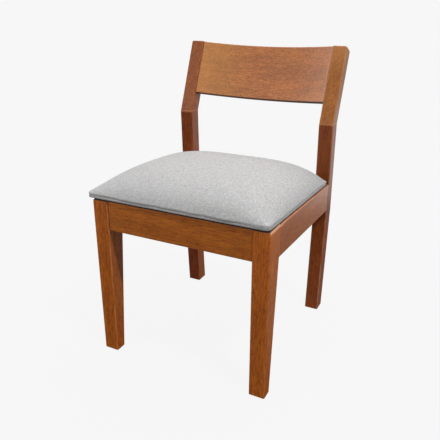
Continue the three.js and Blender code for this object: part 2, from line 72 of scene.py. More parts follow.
# Nodes of the world or of a material
class NodeTree:
    def __init__(self, tree):
        self.nodes = tree.nodes
        self.links = tree.links

    def add(self, kind, **settings):
        node = self.nodes.new(kind)
        for key, value in settings.items():
            setattr(node, key, value)
        return node

    # A socket is linked, and a plain value is set
    def feed(self, socket, value):
        if isinstance(value, bpy.types.NodeSocket):
            self.links.new(value, socket)
        elif value is not None:
            socket.default_value = value

    def math(self, operation, first, second=None):
        node = self.add("ShaderNodeMath", operation=operation)
        self.feed(node.inputs[0], first)
        self.feed(node.inputs[1], second)
        return node.outputs[0]

    def times(self, first, second):
        return self.math("MULTIPLY", first, second)

    def span(self, value, low, high, outLow=0.0, outHigh=1.0):
        node = self.add("ShaderNodeMapRange", interpolation_type="SMOOTHSTEP")
        self.feed(node.inputs["Value"], value)
        node.inputs["From Min"].default_value = low
        node.inputs["From Max"].default_value = high
        node.inputs["To Min"].default_value = outLow
        node.inputs["To Max"].default_value = outHigh
        return node.outputs["Result"]

    # How far a place lies along a direction
    def level(self, vector, direction):
        node = self.add("ShaderNodeVectorMath", operation="DOT_PRODUCT")
        self.feed(node.inputs[0], vector)
        node.inputs[1].default_value = direction
        return node.outputs["Value"]

    def brightness(self, vector, patches):
        total = 0.0
        for direction, begin, full, strength in patches:
            patch = self.span(self.level(vector, direction), begin, full, 0, strength)
            total = self.math("ADD", patch, total)
        return total

    def glow(self, kind, colour, strength):
        node = self.add(kind)
        node.inputs["Color"].default_value = (*colour, 1)
        self.feed(node.inputs["Strength"], strength)
        return node.outputs[0]

    def mixShaders(self, share, first, second):
        node = self.add("ShaderNodeMixShader")
        for socket, value in zip(node.inputs, (share, first, second)):
            self.feed(socket, value)
        return node.outputs[0]


# Camera, measured from the middle of the front legs' front faces, on the floor
cameraView = {
    "place": (0.5701, -0.9181, 0.8393),
    "yawDegrees": 26.572,
    "pitchDegrees": -21.991,
    "rollDegrees": 0.27,
    "lensMillimetres": 43.242,
    "sensorMillimetres": 36,
    "nearestSeen": 0.05,
}


def addCamera(view):
    data = bpy.data.cameras.new("camera")
    data.lens = view["lensMillimetres"]
    data.sensor_width = view["sensorMillimetres"]
    data.clip_start = view["nearestSeen"]
    camera = addObject("camera", data)
    stand = Matrix.Translation(frontMiddle + Vector(view["place"]))
    turn = Matrix.Rotation(math.radians(view["yawDegrees"]), 4, "Z")
    tilt = Matrix.Rotation(math.radians(90 + view["pitchDegrees"]), 4, "X")
    roll = Matrix.Rotation(math.radians(view["rollDegrees"]), 4, "Z")
    camera.matrix_world = stand @ turn @ tilt @ roll
    bpy.context.scene.camera = camera


# Studio: a pale floor that keeps a soft shadow, a plain backdrop and soft lamps. Reflections see its walls
# and floor bright in places only.
studio = {
    "backdrop": (0.93, 0.93, 0.93),
    "ambientStrength": 0.22,
    "floorRadius": 4.0,
    "floorSides": 96,
    "floorGap": 0.3 * mm,  # below the soles
    "floorColour": (0.8, 0.8, 0.8),
    "shadowShare": 0.03,  # how much of the floor's own shading the camera sees near the chair
    "shadowNear": 0.3,
    "shadowFar": 1.0,
    "floorBounce": 0.15,
    "lamps": {  # place, size and power
        "topLamp": ((-0.7, 0.2, 2.5), 1.4, 7.0),
        "rearLamp": ((0.2, 1.3, 2.3), 1.0, 17.0),
        "keyLamp": ((1.7, -0.85, 3.2), 0.13, 55.0),
        "leftLamp": ((-1.6, -1.9, 1.1), 1.4, 11.0),
        "frontLamp": ((0.5, -2.6, 0.9), 1.0, 2.6),
        "rightLamp": ((2.2, 0.5, 0.8), 1.2, 2.4),
    },
    "brightWalls": [  # direction, where it begins, where it is full, and its strength
        ((0, 1, 0), 0.0, 0.5, 0.42),
        ((1, 0, 0), 0.2, 0.7, 1.2),
        ((-1, 0, 0), 0.52, 0.8, 1.7),
        ((0, -0.6, 0.8), 0.2, 0.75, 1.1),
    ],
    "brightFloor": [  # direction, where it begins, where it is full, and its strength
        ((0, 1, 0), -0.3, 0.1, 0.16),
        ((0.5, 0.87, 0), 1.05, 1.4, 1.0),
    ],
}


def addLamp(name, place, size, power, target):
    data = bpy.data.lights.new(name, "AREA")
    data.shape = "DISK"
    data.size = size
    data.energy = power
    lamp = addObject(name, data)
    lamp.location = place
    lamp.rotation_euler = (target - Vector(place)).to_track_quat("-Z", "Y").to_euler()


def addWorld(look):
    world = bpy.data.worlds.new("studio")
    bpy.context.scene.world = world
    world.use_nodes = True
    world.node_tree.nodes.clear()
    tree = NodeTree(world.node_tree)
    ray = tree.add("ShaderNodeLightPath").outputs
    direction = tree.add("ShaderNodeTexCoord").outputs["Generated"]
    bright = tree.brightness(direction, look["brightWalls"])
    seen = tree.glow("ShaderNodeBackground", look["backdrop"], 1.0)
    ambient = tree.glow("ShaderNodeBackground", (1, 1, 1), look["ambientStrength"])
    reflected = tree.glow("ShaderNodeBackground", look["backdrop"], bright)
    shown = tree.mixShaders(ray["Is Glossy Ray"], ambient, reflected)
    shown = tree.mixShaders(ray["Is Camera Ray"], shown, seen)
    tree.feed(tree.add("ShaderNodeOutputWorld").inputs["Surface"], shown)


def addFloor(look):
    bpy.ops.mesh.primitive_circle_add(vertices=look["floorSides"], radius=look["floorRadius"],
                                      fill_type="NGON")
    floor = bpy.context.object
    floor.name = "floor"
    floor.location = (0, 0, cadBox[0].z - look["floorGap"])
    material = bpy.data.materials.new("floorFinish")
    material.use_nodes = True
    material.node_tree.nodes.clear()
    tree = NodeTree(material.node_tree)
    ray = tree.add("ShaderNodeLightPath").outputs
    spot = tree.add("ShaderNodeNewGeometry").outputs
    away = tree.add("ShaderNodeVectorMath", operation="LENGTH")
    tree.feed(away.inputs[0], spot["Position"])
    plain = tree.span(away.outputs["Value"], look["shadowNear"], look["shadowFar"],
                      1 - look["shadowShare"], 1)
    matt = tree.add("ShaderNodeBsdfDiffuse")
    matt.inputs["Color"].default_value = (*look["floorColour"], 1)
    backdrop = tree.glow("ShaderNodeEmission", look["backdrop"], 1.0)
    seen = tree.mixShaders(plain, matt.outputs[0], backdrop)
    bright = tree.brightness(spot["Position"], look["brightFloor"])
    reflected = tree.glow("ShaderNodeEmission", look["backdrop"], bright)
    bounce = tree.glow("ShaderNodeEmission", look["backdrop"], look["floorBounce"])
    clear = tree.add("ShaderNodeBsdfTransparent")
    shown = tree.mixShaders(ray["Is Glossy Ray"], bounce, reflected)
    shown = tree.mixShaders(ray["Is Camera Ray"], shown, seen)
    shown = tree.mixShaders(spot["Backfacing"], shown, clear.outputs[0])
    tree.feed(tree.add("ShaderNodeOutputMaterial").inputs["Surface"], shown)
    floor.data.materials.append(material)


def addStudio(look):
    addWorld(look)
    addFloor(look)
    target = (cadBox[0] + cadBox[1]) / 2
    for name, lamp in look["lamps"].items():
        addLamp(name, *lamp, target)
    bpy.context.scene.view_settings.view_transform = "Standard"


addCamera(cameraView)
addStudio(studio)
print("camera and studio ready")


# From a screen colour of 0 to 255
def toLinear(colour):
    parts = [c / 255 for c in colour]
    return tuple(c / 12.92 if c <= 0.04045 else ((c + 0.055) / 1.055) ** 2.4 for c in parts)


# A material with its own surface shader. Its patterns are measured in metres on the chair.
class Finish(NodeTree):
    def __init__(self, name):
        self.material = bpy.data.materials.new(name)
        self.material.use_nodes = True
        super().__init__(self.material.node_tree)
        self.surface = self.nodes["Principled BSDF"]

    def place(self):
        return self.add("ShaderNodeTexCoord").outputs["Object"]

    def axes(self, vector):
        node = self.add("ShaderNodeSeparateXYZ")
        self.feed(node.inputs[0], vector)
        return tuple(node.outputs)

    def stretched(self, vector, scale, shift=(0, 0, 0)):
        node = self.add("ShaderNodeMapping")
        self.feed(node.inputs["Vector"], vector)
        node.inputs["Scale"].default_value = scale
        node.inputs["Location"].default_value = shift
        return node.outputs["Vector"]

    def noise(self, vector, scale=1.0, detail=2.0, rough=0.5, distortion=0.0):
        node = self.add("ShaderNodeTexNoise")
        self.feed(node.inputs["Vector"], vector)
        node.inputs["Scale"].default_value = scale
        node.inputs["Detail"].default_value = detail
        node.inputs["Roughness"].default_value = rough
        node.inputs["Distortion"].default_value = distortion
        return node.outputs["Fac"]

    def ramp(self, value, stops):
        node = self.add("ShaderNodeValToRGB")
        self.feed(node.inputs["Fac"], value)
        elements = node.color_ramp.elements
        for index, (place, colour) in enumerate(stops):
            stop = elements[index] if index < 2 else elements.new(place)
            stop.position = place
            stop.color = (*toLinear(colour), 1)
        return node.outputs["Color"]

    # Colours of three numbers are screen colours, and those of four are linear
    def blend(self, mode, share, first, second):
        node = self.add("ShaderNodeMix", data_type="RGBA", blend_type=mode)
        self.feed(node.inputs["Factor"], share)
        colours = [socket for socket in node.inputs if socket.type == "RGBA"]
        for socket, value in zip(colours, (first, second)):
            isScreen = isinstance(value, tuple) and len(value) == 3
            self.feed(socket, (*toLinear(value), 1) if isScreen else value)
        return next(socket for socket in node.outputs if socket.type == "RGBA")

    def attribute(self, name):
        return self.add("ShaderNodeAttribute", attribute_name=name).outputs["Fac"]

    def bump(self, height, depth, strength):
        node = self.add("ShaderNodeBump")
        node.inputs["Strength"].default_value = strength
        node.inputs["Distance"].default_value = depth
        self.feed(node.inputs["Height"], height)
        return node.outputs["Normal"]

    def set(self, **values):
        for socket, value in values.items():
            self.feed(self.surface.inputs[socket.replace("_", " ")], value)


# Stained and lacquered hardwood. Each piece has its own stain, grain direction and stretch of figure.
stainedLook = {
    # Cells in a metre along and across the grain, then detail, roughness and distortion
    "figure": (4.0, 42.0, 4, 0.55, 0.9),
    "fibre": (32.0, 360.0, 3, 0.6, 0),
    "fleck": (90.0, 300.0, 2, 0.55, 0),
    "pore": (120.0, 1300.0, 1, 0.5, 0),
    "seedSteps": (1.37, 2.11, 0.73),
    "figureRange": (0.3, 0.7),
    "bands": (0.88, 1.08),  # of the stain, where the figure is darkest and lightest
    "darkening": {  # where a layer begins and is full, how much of it shows, and its colour over the stain
        "fibre": (0.32, 0.68, 0.84, (196, 170, 142)),
        "fleck": (0.52, 0.7, 0.6, (164, 130, 98)),
        "pore": (0.6, 0.72, 0.6, (130, 98, 72)),
    },
    "cloudScale": 16.0,
    "cloudRange": (0.44, 0.68),
    "cloud": 0.16,
    "cloudColour": (196, 178, 160),
    "wearAndHighlight": (238, 156, 98),  # along an edge: stain rubbed thin, and a painted highlight on the rounded edge
    "wearRange": (0.3, 0.62),
    "leastWear": 0.2,
    "uprightShade": (214, 172, 18),  # painted shade of the posts between seat and bend, darker than the raked part above
    "deepFade": 2 * mm,
    "lowStain": (255, 214, 216),  # of the posts below the seat
    "bendHighlight": 0.4,
    "bendHighlightStart": 0.4,  # above the bend, in fades
    "innerFaceShares": (0.25, 0.75),  # of the height of the seat frame, where the inner face is measured
    "innerFaceDepths": (1.6 * mm, 0.6 * mm),
    "innerFaceShare": 0.9,
    "jointShade": (62, 30, 12),  # painted shade: in the joints, along the panel's lower edge and on a post below the seat frame
    "railShadeReach": 40 * mm,
    "underShadeDepths": (0.8 * mm, 2.4 * mm),
    "seatShade": (34, 18, 8),  # right below the cushion
    "seatShadeDepth": 3.8 * mm,
    "seatShadeFull": 0.55,  # of its depth
    "seatShadeFade": 1.3 * mm,
    "seatShadeRoughness": 0.9,
    "coveredReach": 7 * mm,
    "roughness": (0.35, 0.47),
    "roughnessRange": (0.3, 0.75),
    "gloss": 0.5,
    "coat": 0.35,
    "coatRoughness": 0.26,
    "fibreRelief": 0.35,
    "poreRange": (0.58, 0.72),
    "reliefDepth": 0.10 * mm,
    "reliefStrength": 0.55,
}

# What each piece of the frame takes. Always: its stain, a seed for its figure, and how much wear and painted
# highlight its edges take. Some have their own colour for that wear and highlight, their own coat, gloss,
# bands or
# cloud, another contrast or a finer grain. The others:
#   wearChange: from where and to where along the piece the wear and highlight change, and the share they
#       change to
#   coveredWear: the share of the wear and highlight that is left below the cushion
#   shadeDepth: how many times deeper the cushion's shade is
#   shadedJointEnds: for the start and the end, how dark the painted shade in the joint is and how far that
#       reaches
#   underEdgeShade: how dark the painted shade along the lower edge is
#   pale: for a start or an end, how much painted light makes it paler, how far that reaches, and its colour
#   deep, railShade, innerFaceLight: of a post, how strong its painted shade is below the bend, how dark the
#   painted shade below the seat frame is, and the colour of the painted light on its inner face there
frameWood = {
    "front_leg_left": {
        "stain": (218, 120, 35), "seed": 3, "contrast": 0.85, "wear": 0.6, "coveredWear": 0.2,
        "shadeDepth": 1.15,
    },
    "front_leg_right": {
        "stain": (230, 127, 40), "seed": 4, "contrast": 0.8, "wear": 0.1, "wearAndHighlight": (246, 205, 172),
        "wearChange": (404 * mm, 415 * mm, 5.5), "coveredWear": 0.1,
    },
    "rear_post_left": {
        "stain": (168, 95, 44), "seed": 7, "wear": 0.05, "coat": 0.06, "gloss": 0.3, "deep": 0.7,
        "innerFaceLight": (222, 126, 70),
    },
    "rear_post_right": {
        "stain": (182, 114, 50), "seed": 8, "contrast": 0.75, "wear": 0.5, "wearAndHighlight": (238, 190, 160),
        "wearChange": (340 * mm, 430 * mm, 0.35), "coat": 0.12, "gloss": 0.3, "railShade": 0.5,
        "pale": [("end", 0.2, 80 * mm, (244, 172, 112))],
    },
    "front_rail": {
        "stain": (214, 123, 40), "seed": 11, "contrast": 0.85, "wear": 0.3,
        "shadedJointEnds": ((1, 3.6 * mm), (0.15, 1.3 * mm)),
    },
    "rear_rail": {"stain": (206, 116, 40), "seed": 12, "wear": 0.3},
    "side_rail_left": {"stain": (202, 112, 38), "seed": 15, "wear": 0.4},
    "side_rail_right": {
        "stain": (200, 111, 37), "seed": 16, "contrast": 0.65, "wear": 0.43, "wearAndHighlight": (242, 190, 150),
        "wearChange": (8 * mm, 40 * mm, 0.3), "shadedJointEnds": ((0, 1 * mm), (1, 5 * mm)),
    },
    "backrest_panel": {
        "stain": (206, 129, 63), "seed": 21, "contrast": 1.2, "fine": 2.1, "bands": (0.8, 1.13),
        "cloud": 0.32, "wear": 0.1, "shadedJointEnds": ((0.9, 1.5 * mm), (0, 1 * mm)), "underEdgeShade": 0.85,
        "pale": [("end", 0.17, 100 * mm, (226, 170, 144)), ("end", 0.45, 4.5 * mm, (226, 186, 166)),
                 ("start", 0.18, 190 * mm, (250, 188, 98))],
    },
}


def grainScale(axis, along, across):
    return tuple(along if letter == axis else across for letter in "xyz")


# The share of painted light on a post's inner face, which leans a little below the seat
def innerFaceOf(name, finish, place, seatLow, look):
    first, second = (share * seatLow for share in look["innerFaceShares"])
    lower, higher = (sliceSpans(name, upward, height, [across])[0][1] for height in (first, second))
    facing = Vector((second - first, 0, lower - higher)).normalized()
    reach = facing.dot(Vector((lower, 0, first)))
    begin, full = (reach - depth for depth in look["innerFaceDepths"])
    return finish.span(finish.level(place, facing), begin, full, 0, look["innerFaceShare"])


# A post is darker from the seat to its bend, which is painted shade, with a painted highlight along the bend;
# below the seat it takes painted light on its inner face, and painted shade just below the seat frame
def shadePost(name, finish, place, bendHeight, colour, wearAndHighlight, look):
    own = frameWood[name]
    fade = look["deepFade"]
    height = finish.axes(place)[2]
    seatLow, seatHigh = (corner.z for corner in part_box("rear_rail"))
    aboveSeat = finish.span(height, seatLow, seatHigh)
    belowSeat = finish.math("SUBTRACT", 1, aboveSeat)
    # Painted shade between the seat and the bend
    deep = finish.span(height, bendHeight - fade, bendHeight + fade, own.get("deep", 1), 0)
    colour = finish.blend("MULTIPLY", finish.times(deep, aboveSeat), colour, look["uprightShade"])
    colour = finish.blend("MULTIPLY", belowSeat, colour, look["lowStain"])
    # Painted light on the inner face below the seat
    if "innerFaceLight" in own:
        inner = finish.times(innerFaceOf(name, finish, place, seatLow, look), belowSeat)
        colour = finish.blend("MIX", inner, colour, own["innerFaceLight"])
    # A painted highlight along the bend, mixed in with the edge wear
    bend = finish.times(finish.span(height, bendHeight + look["bendHighlightStart"] * fade, bendHeight + fade),
                        finish.span(height, bendHeight + fade, bendHeight + 2 * fade, 1, 0))
    wearAndHighlight = finish.math("MAXIMUM", wearAndHighlight, finish.times(bend, look["bendHighlight"]))
    # Painted shade just below the seat frame
    shade = finish.span(height, seatLow - look["railShadeReach"], seatLow, 0, own.get("railShade", 0))
    colour = finish.blend("MIX", finish.times(shade, belowSeat), colour, look["jointShade"])
    return colour, wearAndHighlight


# A bend height makes a post of it. A piece that the cushion shades has no upright, which is the way that its
# lower edge is measured.
def stainedWood(name, axis, bendHeight=None, upright=None, look=stainedLook):
    own = frameWood[name]
    finish = Finish(name + "_wood")
    place = finish.place()
    shift = tuple(own["seed"] * step for step in look["seedSteps"])

    def layer(kind):
        along, acrossGrain, detail, rough, distortion = look[kind]
        fine = own.get("fine", 1)
        scale = grainScale(axis, fine * along, fine * acrossGrain)
        return finish.noise(finish.stretched(place, scale, shift), 1, detail, rough, distortion)

    stain = toLinear(own["stain"])
    dark, light = ((*(c * band for c in stain), 1) for band in own.get("bands", look["bands"]))
    colour = finish.blend("MIX", finish.span(layer("figure"), *look["figureRange"]), dark, light)
    layers = {kind: layer(kind) for kind in look["darkening"]}
    for kind, (begin, full, share, over) in look["darkening"].items():
        share *= own.get("contrast", 1)
        colour = finish.blend("MULTIPLY", finish.span(layers[kind], begin, full, 0, share), colour, over)
    cloud = finish.noise(finish.stretched(place, (1, 1, 1), shift), look["cloudScale"], 3)
    cloudy = finish.span(cloud, *look["cloudRange"], 0, own.get("cloud", look["cloud"]))
    colour = finish.blend("MULTIPLY", cloudy, colour, look["cloudColour"])
    # The rounded edges take wear and a painted highlight, in patches
    patchy = finish.span(cloud, *look["wearRange"], look["leastWear"] * own["wear"], own["wear"])
    wearAndHighlight = finish.times(finish.attribute("wear"), patchy)
    if bendHeight is not None:
        colour, wearAndHighlight = shadePost(name, finish, place, bendHeight, colour, wearAndHighlight, look)

    axes = finish.axes(place)
    if upright is None:
        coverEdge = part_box("seat_cover")[1]
        fade = look["seatShadeFade"]
        covered = finish.times(finish.span(axes[0], coverEdge.x, coverEdge.x + fade, 1, 0),
                               finish.span(axes[1], coverEdge.y, coverEdge.y + fade, 1, 0))
        seatLevel = finish.level(place, seatNormal)
    if "coveredWear" in own:
        reach = look["coveredReach"]
        near = finish.times(finish.span(seatLevel, seatPlane - 2 * reach, seatPlane - reach), covered)
        wearAndHighlight = finish.times(wearAndHighlight, finish.span(near, 0, 1, 1, own["coveredWear"]))
    along = axes["xyz".index(axis)]
    start, end = (corner["xyz".index(axis)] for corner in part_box(name))
    if "wearChange" in own:
        begin, full, share = own["wearChange"]
        wearAndHighlight = finish.times(wearAndHighlight, finish.span(along, start + begin, start + full, 1, share))
    # The edges take the colour of their wear and painted highlight
    colour = finish.blend("MIX", wearAndHighlight, colour, own.get("wearAndHighlight", look["wearAndHighlight"]))
    # Painted shade in the joints at the piece's ends
    if "shadedJointEnds" in own:
        (first, startReach), (last, endReach) = own["shadedJointEnds"]
        nearStart = finish.span(along, start, start + startReach, first, 0)
        nearEnd = finish.span(along, end - endReach, end, 0, last)
        colour = finish.blend("MIX", finish.math("ADD", nearStart, nearEnd), colour, look["jointShade"])
    # Painted light that makes the piece paler towards a start or an end
    for where, share, reach, pale in own.get("pale", []):
        edge, inward = (end, end - reach) if where == "end" else (start, start + reach)
        colour = finish.blend("MIX", finish.span(along, inward, edge, 0, share), colour, pale)
    # Painted shade along the lower edge
    if "underEdgeShade" in own:
        full, plain = (reachOf(name, upright)[0] + depth for depth in look["underShadeDepths"])
        shade = finish.span(finish.level(place, upright), full, plain, own["underEdgeShade"], 0)
        colour = finish.blend("MIX", shade, colour, look["jointShade"])

    coat = own.get("coat", look["coat"])
    rough = finish.span(layers["fibre"], *look["roughnessRange"], *look["roughness"])
    if upright is None:
        depth = look["seatShadeDepth"] * own.get("shadeDepth", 1)
        shade = finish.span(seatLevel, seatPlane - depth, seatPlane - look["seatShadeFull"] * depth)
        shade = finish.times(shade, covered)
        colour = finish.blend("MIX", shade, colour, look["seatShade"])
        coat = finish.span(shade, 0, 1, coat, 0)
        rough = finish.math("MAXIMUM", rough, finish.times(shade, look["seatShadeRoughness"]))
    relief = finish.math("SUBTRACT", finish.times(layers["fibre"], look["fibreRelief"]),
                         finish.span(layers["pore"], *look["poreRange"]))
    normal = finish.bump(relief, look["reliefDepth"], look["reliefStrength"])
    finish.set(Base_Color=colour, Roughness=rough, Normal=normal, Coat_Weight=coat,
               Coat_Roughness=look["coatRoughness"], Specular_IOR_Level=own.get("gloss", look["gloss"]))
    return finish.material


# Meshes
def addPiece(name, points, faces, material, attributes=None):
    mesh = bpy.data.meshes.new(name)
    mesh.from_pydata(points, [], faces)
    mesh.polygons.foreach_set("use_smooth", [True] * len(faces))
    mesh.materials.append(material)
    for key, values in (attributes or {}).items():
        layer = mesh.attributes.new(key, "FLOAT", "POINT")
        layer.data.foreach_set("value", values)
    mesh.update()
    return addObject(name, mesh)


def fixFacing(piece):
    mesh = piece.data
    volume = 0
    for polygon in mesh.polygons:
        corners = [mesh.vertices[i].co for i in polygon.vertices]
        for b, c in zip(corners[1:], corners[2:]):
            volume += corners[0].dot(b.cross(c))
    if volume < 0:
        mesh.flip_normals()


# Faces between closed loops of as many points each, with the first and the last loop filled
def joinLoops(loops):
    count = len(loops[0])
    faces = [tuple(reversed(range(count)))]
    for row in range(len(loops) - 1):
        for i in range(count):
            a, b = row * count + i, row * count + (i + 1) % count
            faces.append((a, b, b + count, a + count))
    last = (len(loops) - 1) * count
    faces.append(tuple(range(last, last + count)))
    return faces


# The frame's pieces are lofted along the CAD nodes that they stand for: each node is sliced at a row of
# places, and each slice gives a rectangle, to which the finished piece gives softly rounded edges and ends
woodwork = {
    "arcSteps": 6,
    "leastRounding": 0.25,  # of a corner's radius, where an eased end draws it in
    "wearReach": 1.4 * mm,  # how far the wear and painted highlight run in from a rounded edge
    "wearPower": 0.6,  # low values carry the wear and painted highlight round more of the edge
    "normalWeight": 80,
    "legEdge": 3.0 * mm,
    "postEdge": 3.2 * mm,
    "railEdge": 3.2 * mm,
    "panelEdge": 3.0 * mm,
    "jointEdge": 0.5 * mm,  # where two pieces meet flush
    "footEdge": 1.2 * mm,
    "railEndEdge": 0.4 * mm,
    "endEdge": 3.0 * mm,
    "innerPostEnd": 1.5 * mm,
    "outerEnds": {  # the outer corners at the upper ends are rounded more
        "front_leg_left": 7.0 * mm,
        "front_leg_right": 6.5 * mm,
        "rear_post_left": 4.0 * mm,
        "rear_post_right": 5.5 * mm,
    },
    "outerEndFade": 45 * mm,  # how far a side rail takes to return from its leg's rounder corner
    "fadeShares": (0.2, 0.4, 0.6, 0.8, 1),
    "bendSoftness": 1.6 * mm,
    "bendSteps": (-3, -1, 1, 3),  # slices about the bend, in softnesses
    "panelDip": 1.0 * mm,  # of the backrest's upper edge in the middle
    "panelSlices": 41,
    "legShares": (0.3, 0.7),  # slices below the seat frame
    "railShares": (0.25, 0.5, 0.75),
    "rakedSlices": (30 * mm, 100 * mm),  # past the bend
    "changeGap": 4 * mm,  # slices stand this far to both sides of a change of corners
    "sampleInset": 6 * mm,  # past the eased ends of the CAD node
    "sampleStep": 14 * mm,
    "upperSamples": (60 * mm, 120 * mm),  # below a post's top, where its lean is measured
    "lowerSamples": (450 * mm, 420 * mm),  # above its foot
}


def slicePoints(node, direction, distance):
    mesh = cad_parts[node].data
    heights = [v.co.dot(direction) - distance for v in mesh.vertices]
    found = []
    for a, b in mesh.edge_keys:
        if heights[a] * heights[b] < 0:
            share = heights[a] / (heights[a] - heights[b])
            found.append(mesh.vertices[a].co.lerp(mesh.vertices[b].co, share))
    return found


def sliceSpans(node, direction, distance, sides):
    points = slicePoints(node, direction, distance)
    spans = []
    for side in sides:
        reaches = [p.dot(side) for p in points]
        spans.append((min(reaches), max(reaches)))
    return spans


def reachOf(node, direction):
    reaches = [v.co.dot(direction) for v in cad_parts[node].data.vertices]
    return min(reaches), max(reaches)


# Spans of the uneased section at an end, carried on from two slices further in
def endSpans(node, direction, end, inward, sides):
    inset, step = woodwork["sampleInset"], woodwork["sampleStep"]
    near = sliceSpans(node, direction, end + inward * inset, sides)
    far = sliceSpans(node, direction, end + inward * (inset + step), sides)
    share = inset / step
    return [tuple(n + (n - f) * share for n, f in zip(a, b)) for a, b in zip(near, far)]


# A rectangle with rounded corners. The insets are those of its sides a low, a high, b low and b high, and
# the radii those of its corners, which run from a high and b low through a high and b high.
def cornerLoop(spans, radii, insets, edgeWear):
    aLow, aHigh = spans[0][0] + insets[0], spans[0][1] - insets[1]
    bLow, bHigh = spans[1][0] + insets[2], spans[1][1] - insets[3]
    fade, steps = woodwork["wearReach"], woodwork["arcSteps"]
    corners = [(aHigh, bLow, 1, -1), (aHigh, bHigh, 1, 1), (aLow, bHigh, -1, 1), (aLow, bLow, -1, -1)]
    loop = []
    for turn, (a, b, signA, signB) in enumerate(corners):
        inset = min(insets[signA > 0], insets[2 + (signB > 0)])
        radius = max(radii[turn] - inset, radii[turn] * woodwork["leastRounding"])
        ownWear = 0 if radii[turn] == woodwork["jointEdge"] else 1
        centreA, centreB = a - signA * radius, b - signB * radius
        start = (turn - 1) * math.pi / 2
        before = Vector((math.sin(start), -math.cos(start))) * fade
        after = Vector((-math.sin(start + math.pi / 2), math.cos(start + math.pi / 2))) * fade
        arc = []
        for i in range(steps + 1):
            angle = start + i / steps * math.pi / 2
            wear = max(edgeWear, ownWear * math.sin(i / steps * math.pi) ** woodwork["wearPower"])
            arc.append((centreA + radius * math.cos(angle), centreB + radius * math.sin(angle), wear))
        loop.append((arc[0][0] + before.x, arc[0][1] + before.y, edgeWear))
        loop.extend(arc)
        loop.append((arc[-1][0] + after.x, arc[-1][1] + after.y, edgeWear))
    return loop


def sectionLoop(spans, direction, distance, sides, radii, insets=(0, 0, 0, 0), edgeWear=0.0):
    solve = Matrix((sides[0], sides[1], direction)).inverted()
    points, wears = [], []
    for a, b, wear in cornerLoop(spans, radii, insets, edgeWear):
        points.append(solve @ Vector((a, b, distance)))
        wears.append(wear)
    return points, wears


def easeInset(ease, depth):
    return ease - math.sqrt(ease * ease - (ease - depth) ** 2) if depth < ease else 0.0


def easedLoops(node, run, end, inward, eases):
    direction, sides, radii = run["direction"], run["sides"], run["radii"](end)
    spans = endSpans(node, direction, end, inward, sides)
    turns = [i / woodwork["arcSteps"] * math.pi / 2 for i in range(woodwork["arcSteps"] + 1)]
    deepest = max(eases)
    depths = {round(ease * (1 - math.sin(turn)), 5) for ease in eases for turn in turns}
    beyond = end + inward * (deepest + woodwork["wearReach"])
    loops = [sectionLoop(spans, direction, beyond, sides, radii)]
    for depth in sorted(depths, reverse=True):
        insets = [easeInset(ease, depth) for ease in eases]
        share = 1 - depth / deepest
        wear = 2 * share * math.sqrt(1 - share * share)
        loops.append(sectionLoop(spans, direction, end + inward * depth, sides, radii, insets, wear))
    return loops


# A run is a straight stretch of a piece: its direction, the two ways that its sides face, the places along
# it that are sliced, the radii of its corners at a place, and how far its sides are trimmed there. The eases
# round the ends towards the four sides; the first run has the piece's start and the last one its end.
def loftedPiece(name, runs, startEases, endEases, material):
    loops = []
    for index, run in enumerate(runs):
        direction, sides = run["direction"], run["sides"]
        low, high = reachOf(name, direction)
        if index == 0:
            loops += reversed(easedLoops(name, run, low, 1, startEases))
        for distance in run["slices"]:
            spans = sliceSpans(name, direction, distance, sides)
            trim = run["trim"](distance) if "trim" in run else (0, 0, 0, 0)
            loops.append(sectionLoop(spans, direction, distance, sides, run["radii"](distance), trim))
        if index == len(runs) - 1:
            loops += easedLoops(name, run, high, -1, endEases)
    points = [point for loop, _ in loops for point in loop]
    wears = [wear for _, loop in loops for wear in loop]
    faces = joinLoops([loop for loop, _ in loops])
    piece = addPiece(name + "_finished", points, faces, material, {"wear": wears})
    fixFacing(piece)
    piece.modifiers.new("evenNormals", "WEIGHTED_NORMAL").weight = woodwork["normalWeight"]
    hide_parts(name)
    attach(piece, "root")


def evenRadii(radius):
    return lambda distance: (radius,) * 4


# A radius at each corner of a section, with a sharper one at the corner that meets a rail flush
def cornerRadii(radius, sharpCorner, isSharp):
    sharp = woodwork["jointEdge"] if isSharp else radius
    return tuple(sharp if corner == sharpCorner else radius for corner in range(4))


# How the seat frame's top falls from front to rear
def slopeOf(node):
    low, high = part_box(node)
    inset = woodwork["sampleStep"]
    front, rear = (sliceSpans(node, depthways, y, [upward])[0][1] for y in (low.y + inset, high.y - inset))
    return (front - rear) / (high.y - low.y - 2 * inset)


seatFall = slopeOf("side_rail_right")
seatNormal = Vector((0, seatFall, 1)).normalized()
seatPlane = reachOf("side_rail_right", seatNormal)[1]


# Eases of an upper end towards its left, its right, its front and its back
def upperEases(name, inner, back):
    outer = woodwork["outerEnds"][name]
    sides = (outer, inner) if name.endswith("_left") else (inner, outer)
    return (*sides, woodwork["endEdge"], back)


def aboutChange(height):
    return [height - woodwork["changeGap"], height + woodwork["changeGap"]]


def addLegs():
    for side, rearCorner in (("left", 2), ("right", 1)):
        name = "front_leg_" + side
        low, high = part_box(name)
        railLow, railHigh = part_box("front_rail")
        shoulder = high.z - (railHigh.z - railLow.z)
        slices = [low.z + share * (shoulder - low.z) for share in woodwork["legShares"]]
        slices += aboutChange(shoulder)

        def radii(distance):
            return cornerRadii(woodwork["legEdge"], rearCorner, distance > shoulder)

        run = {"direction": upward, "sides": [across, depthways], "slices": slices, "radii": radii}
        endEases = upperEases(name, woodwork["jointEdge"], woodwork["jointEdge"])
        loftedPiece(name, [run], (woodwork["footEdge"],) * 4, endEases, stainedWood(name, "z"))


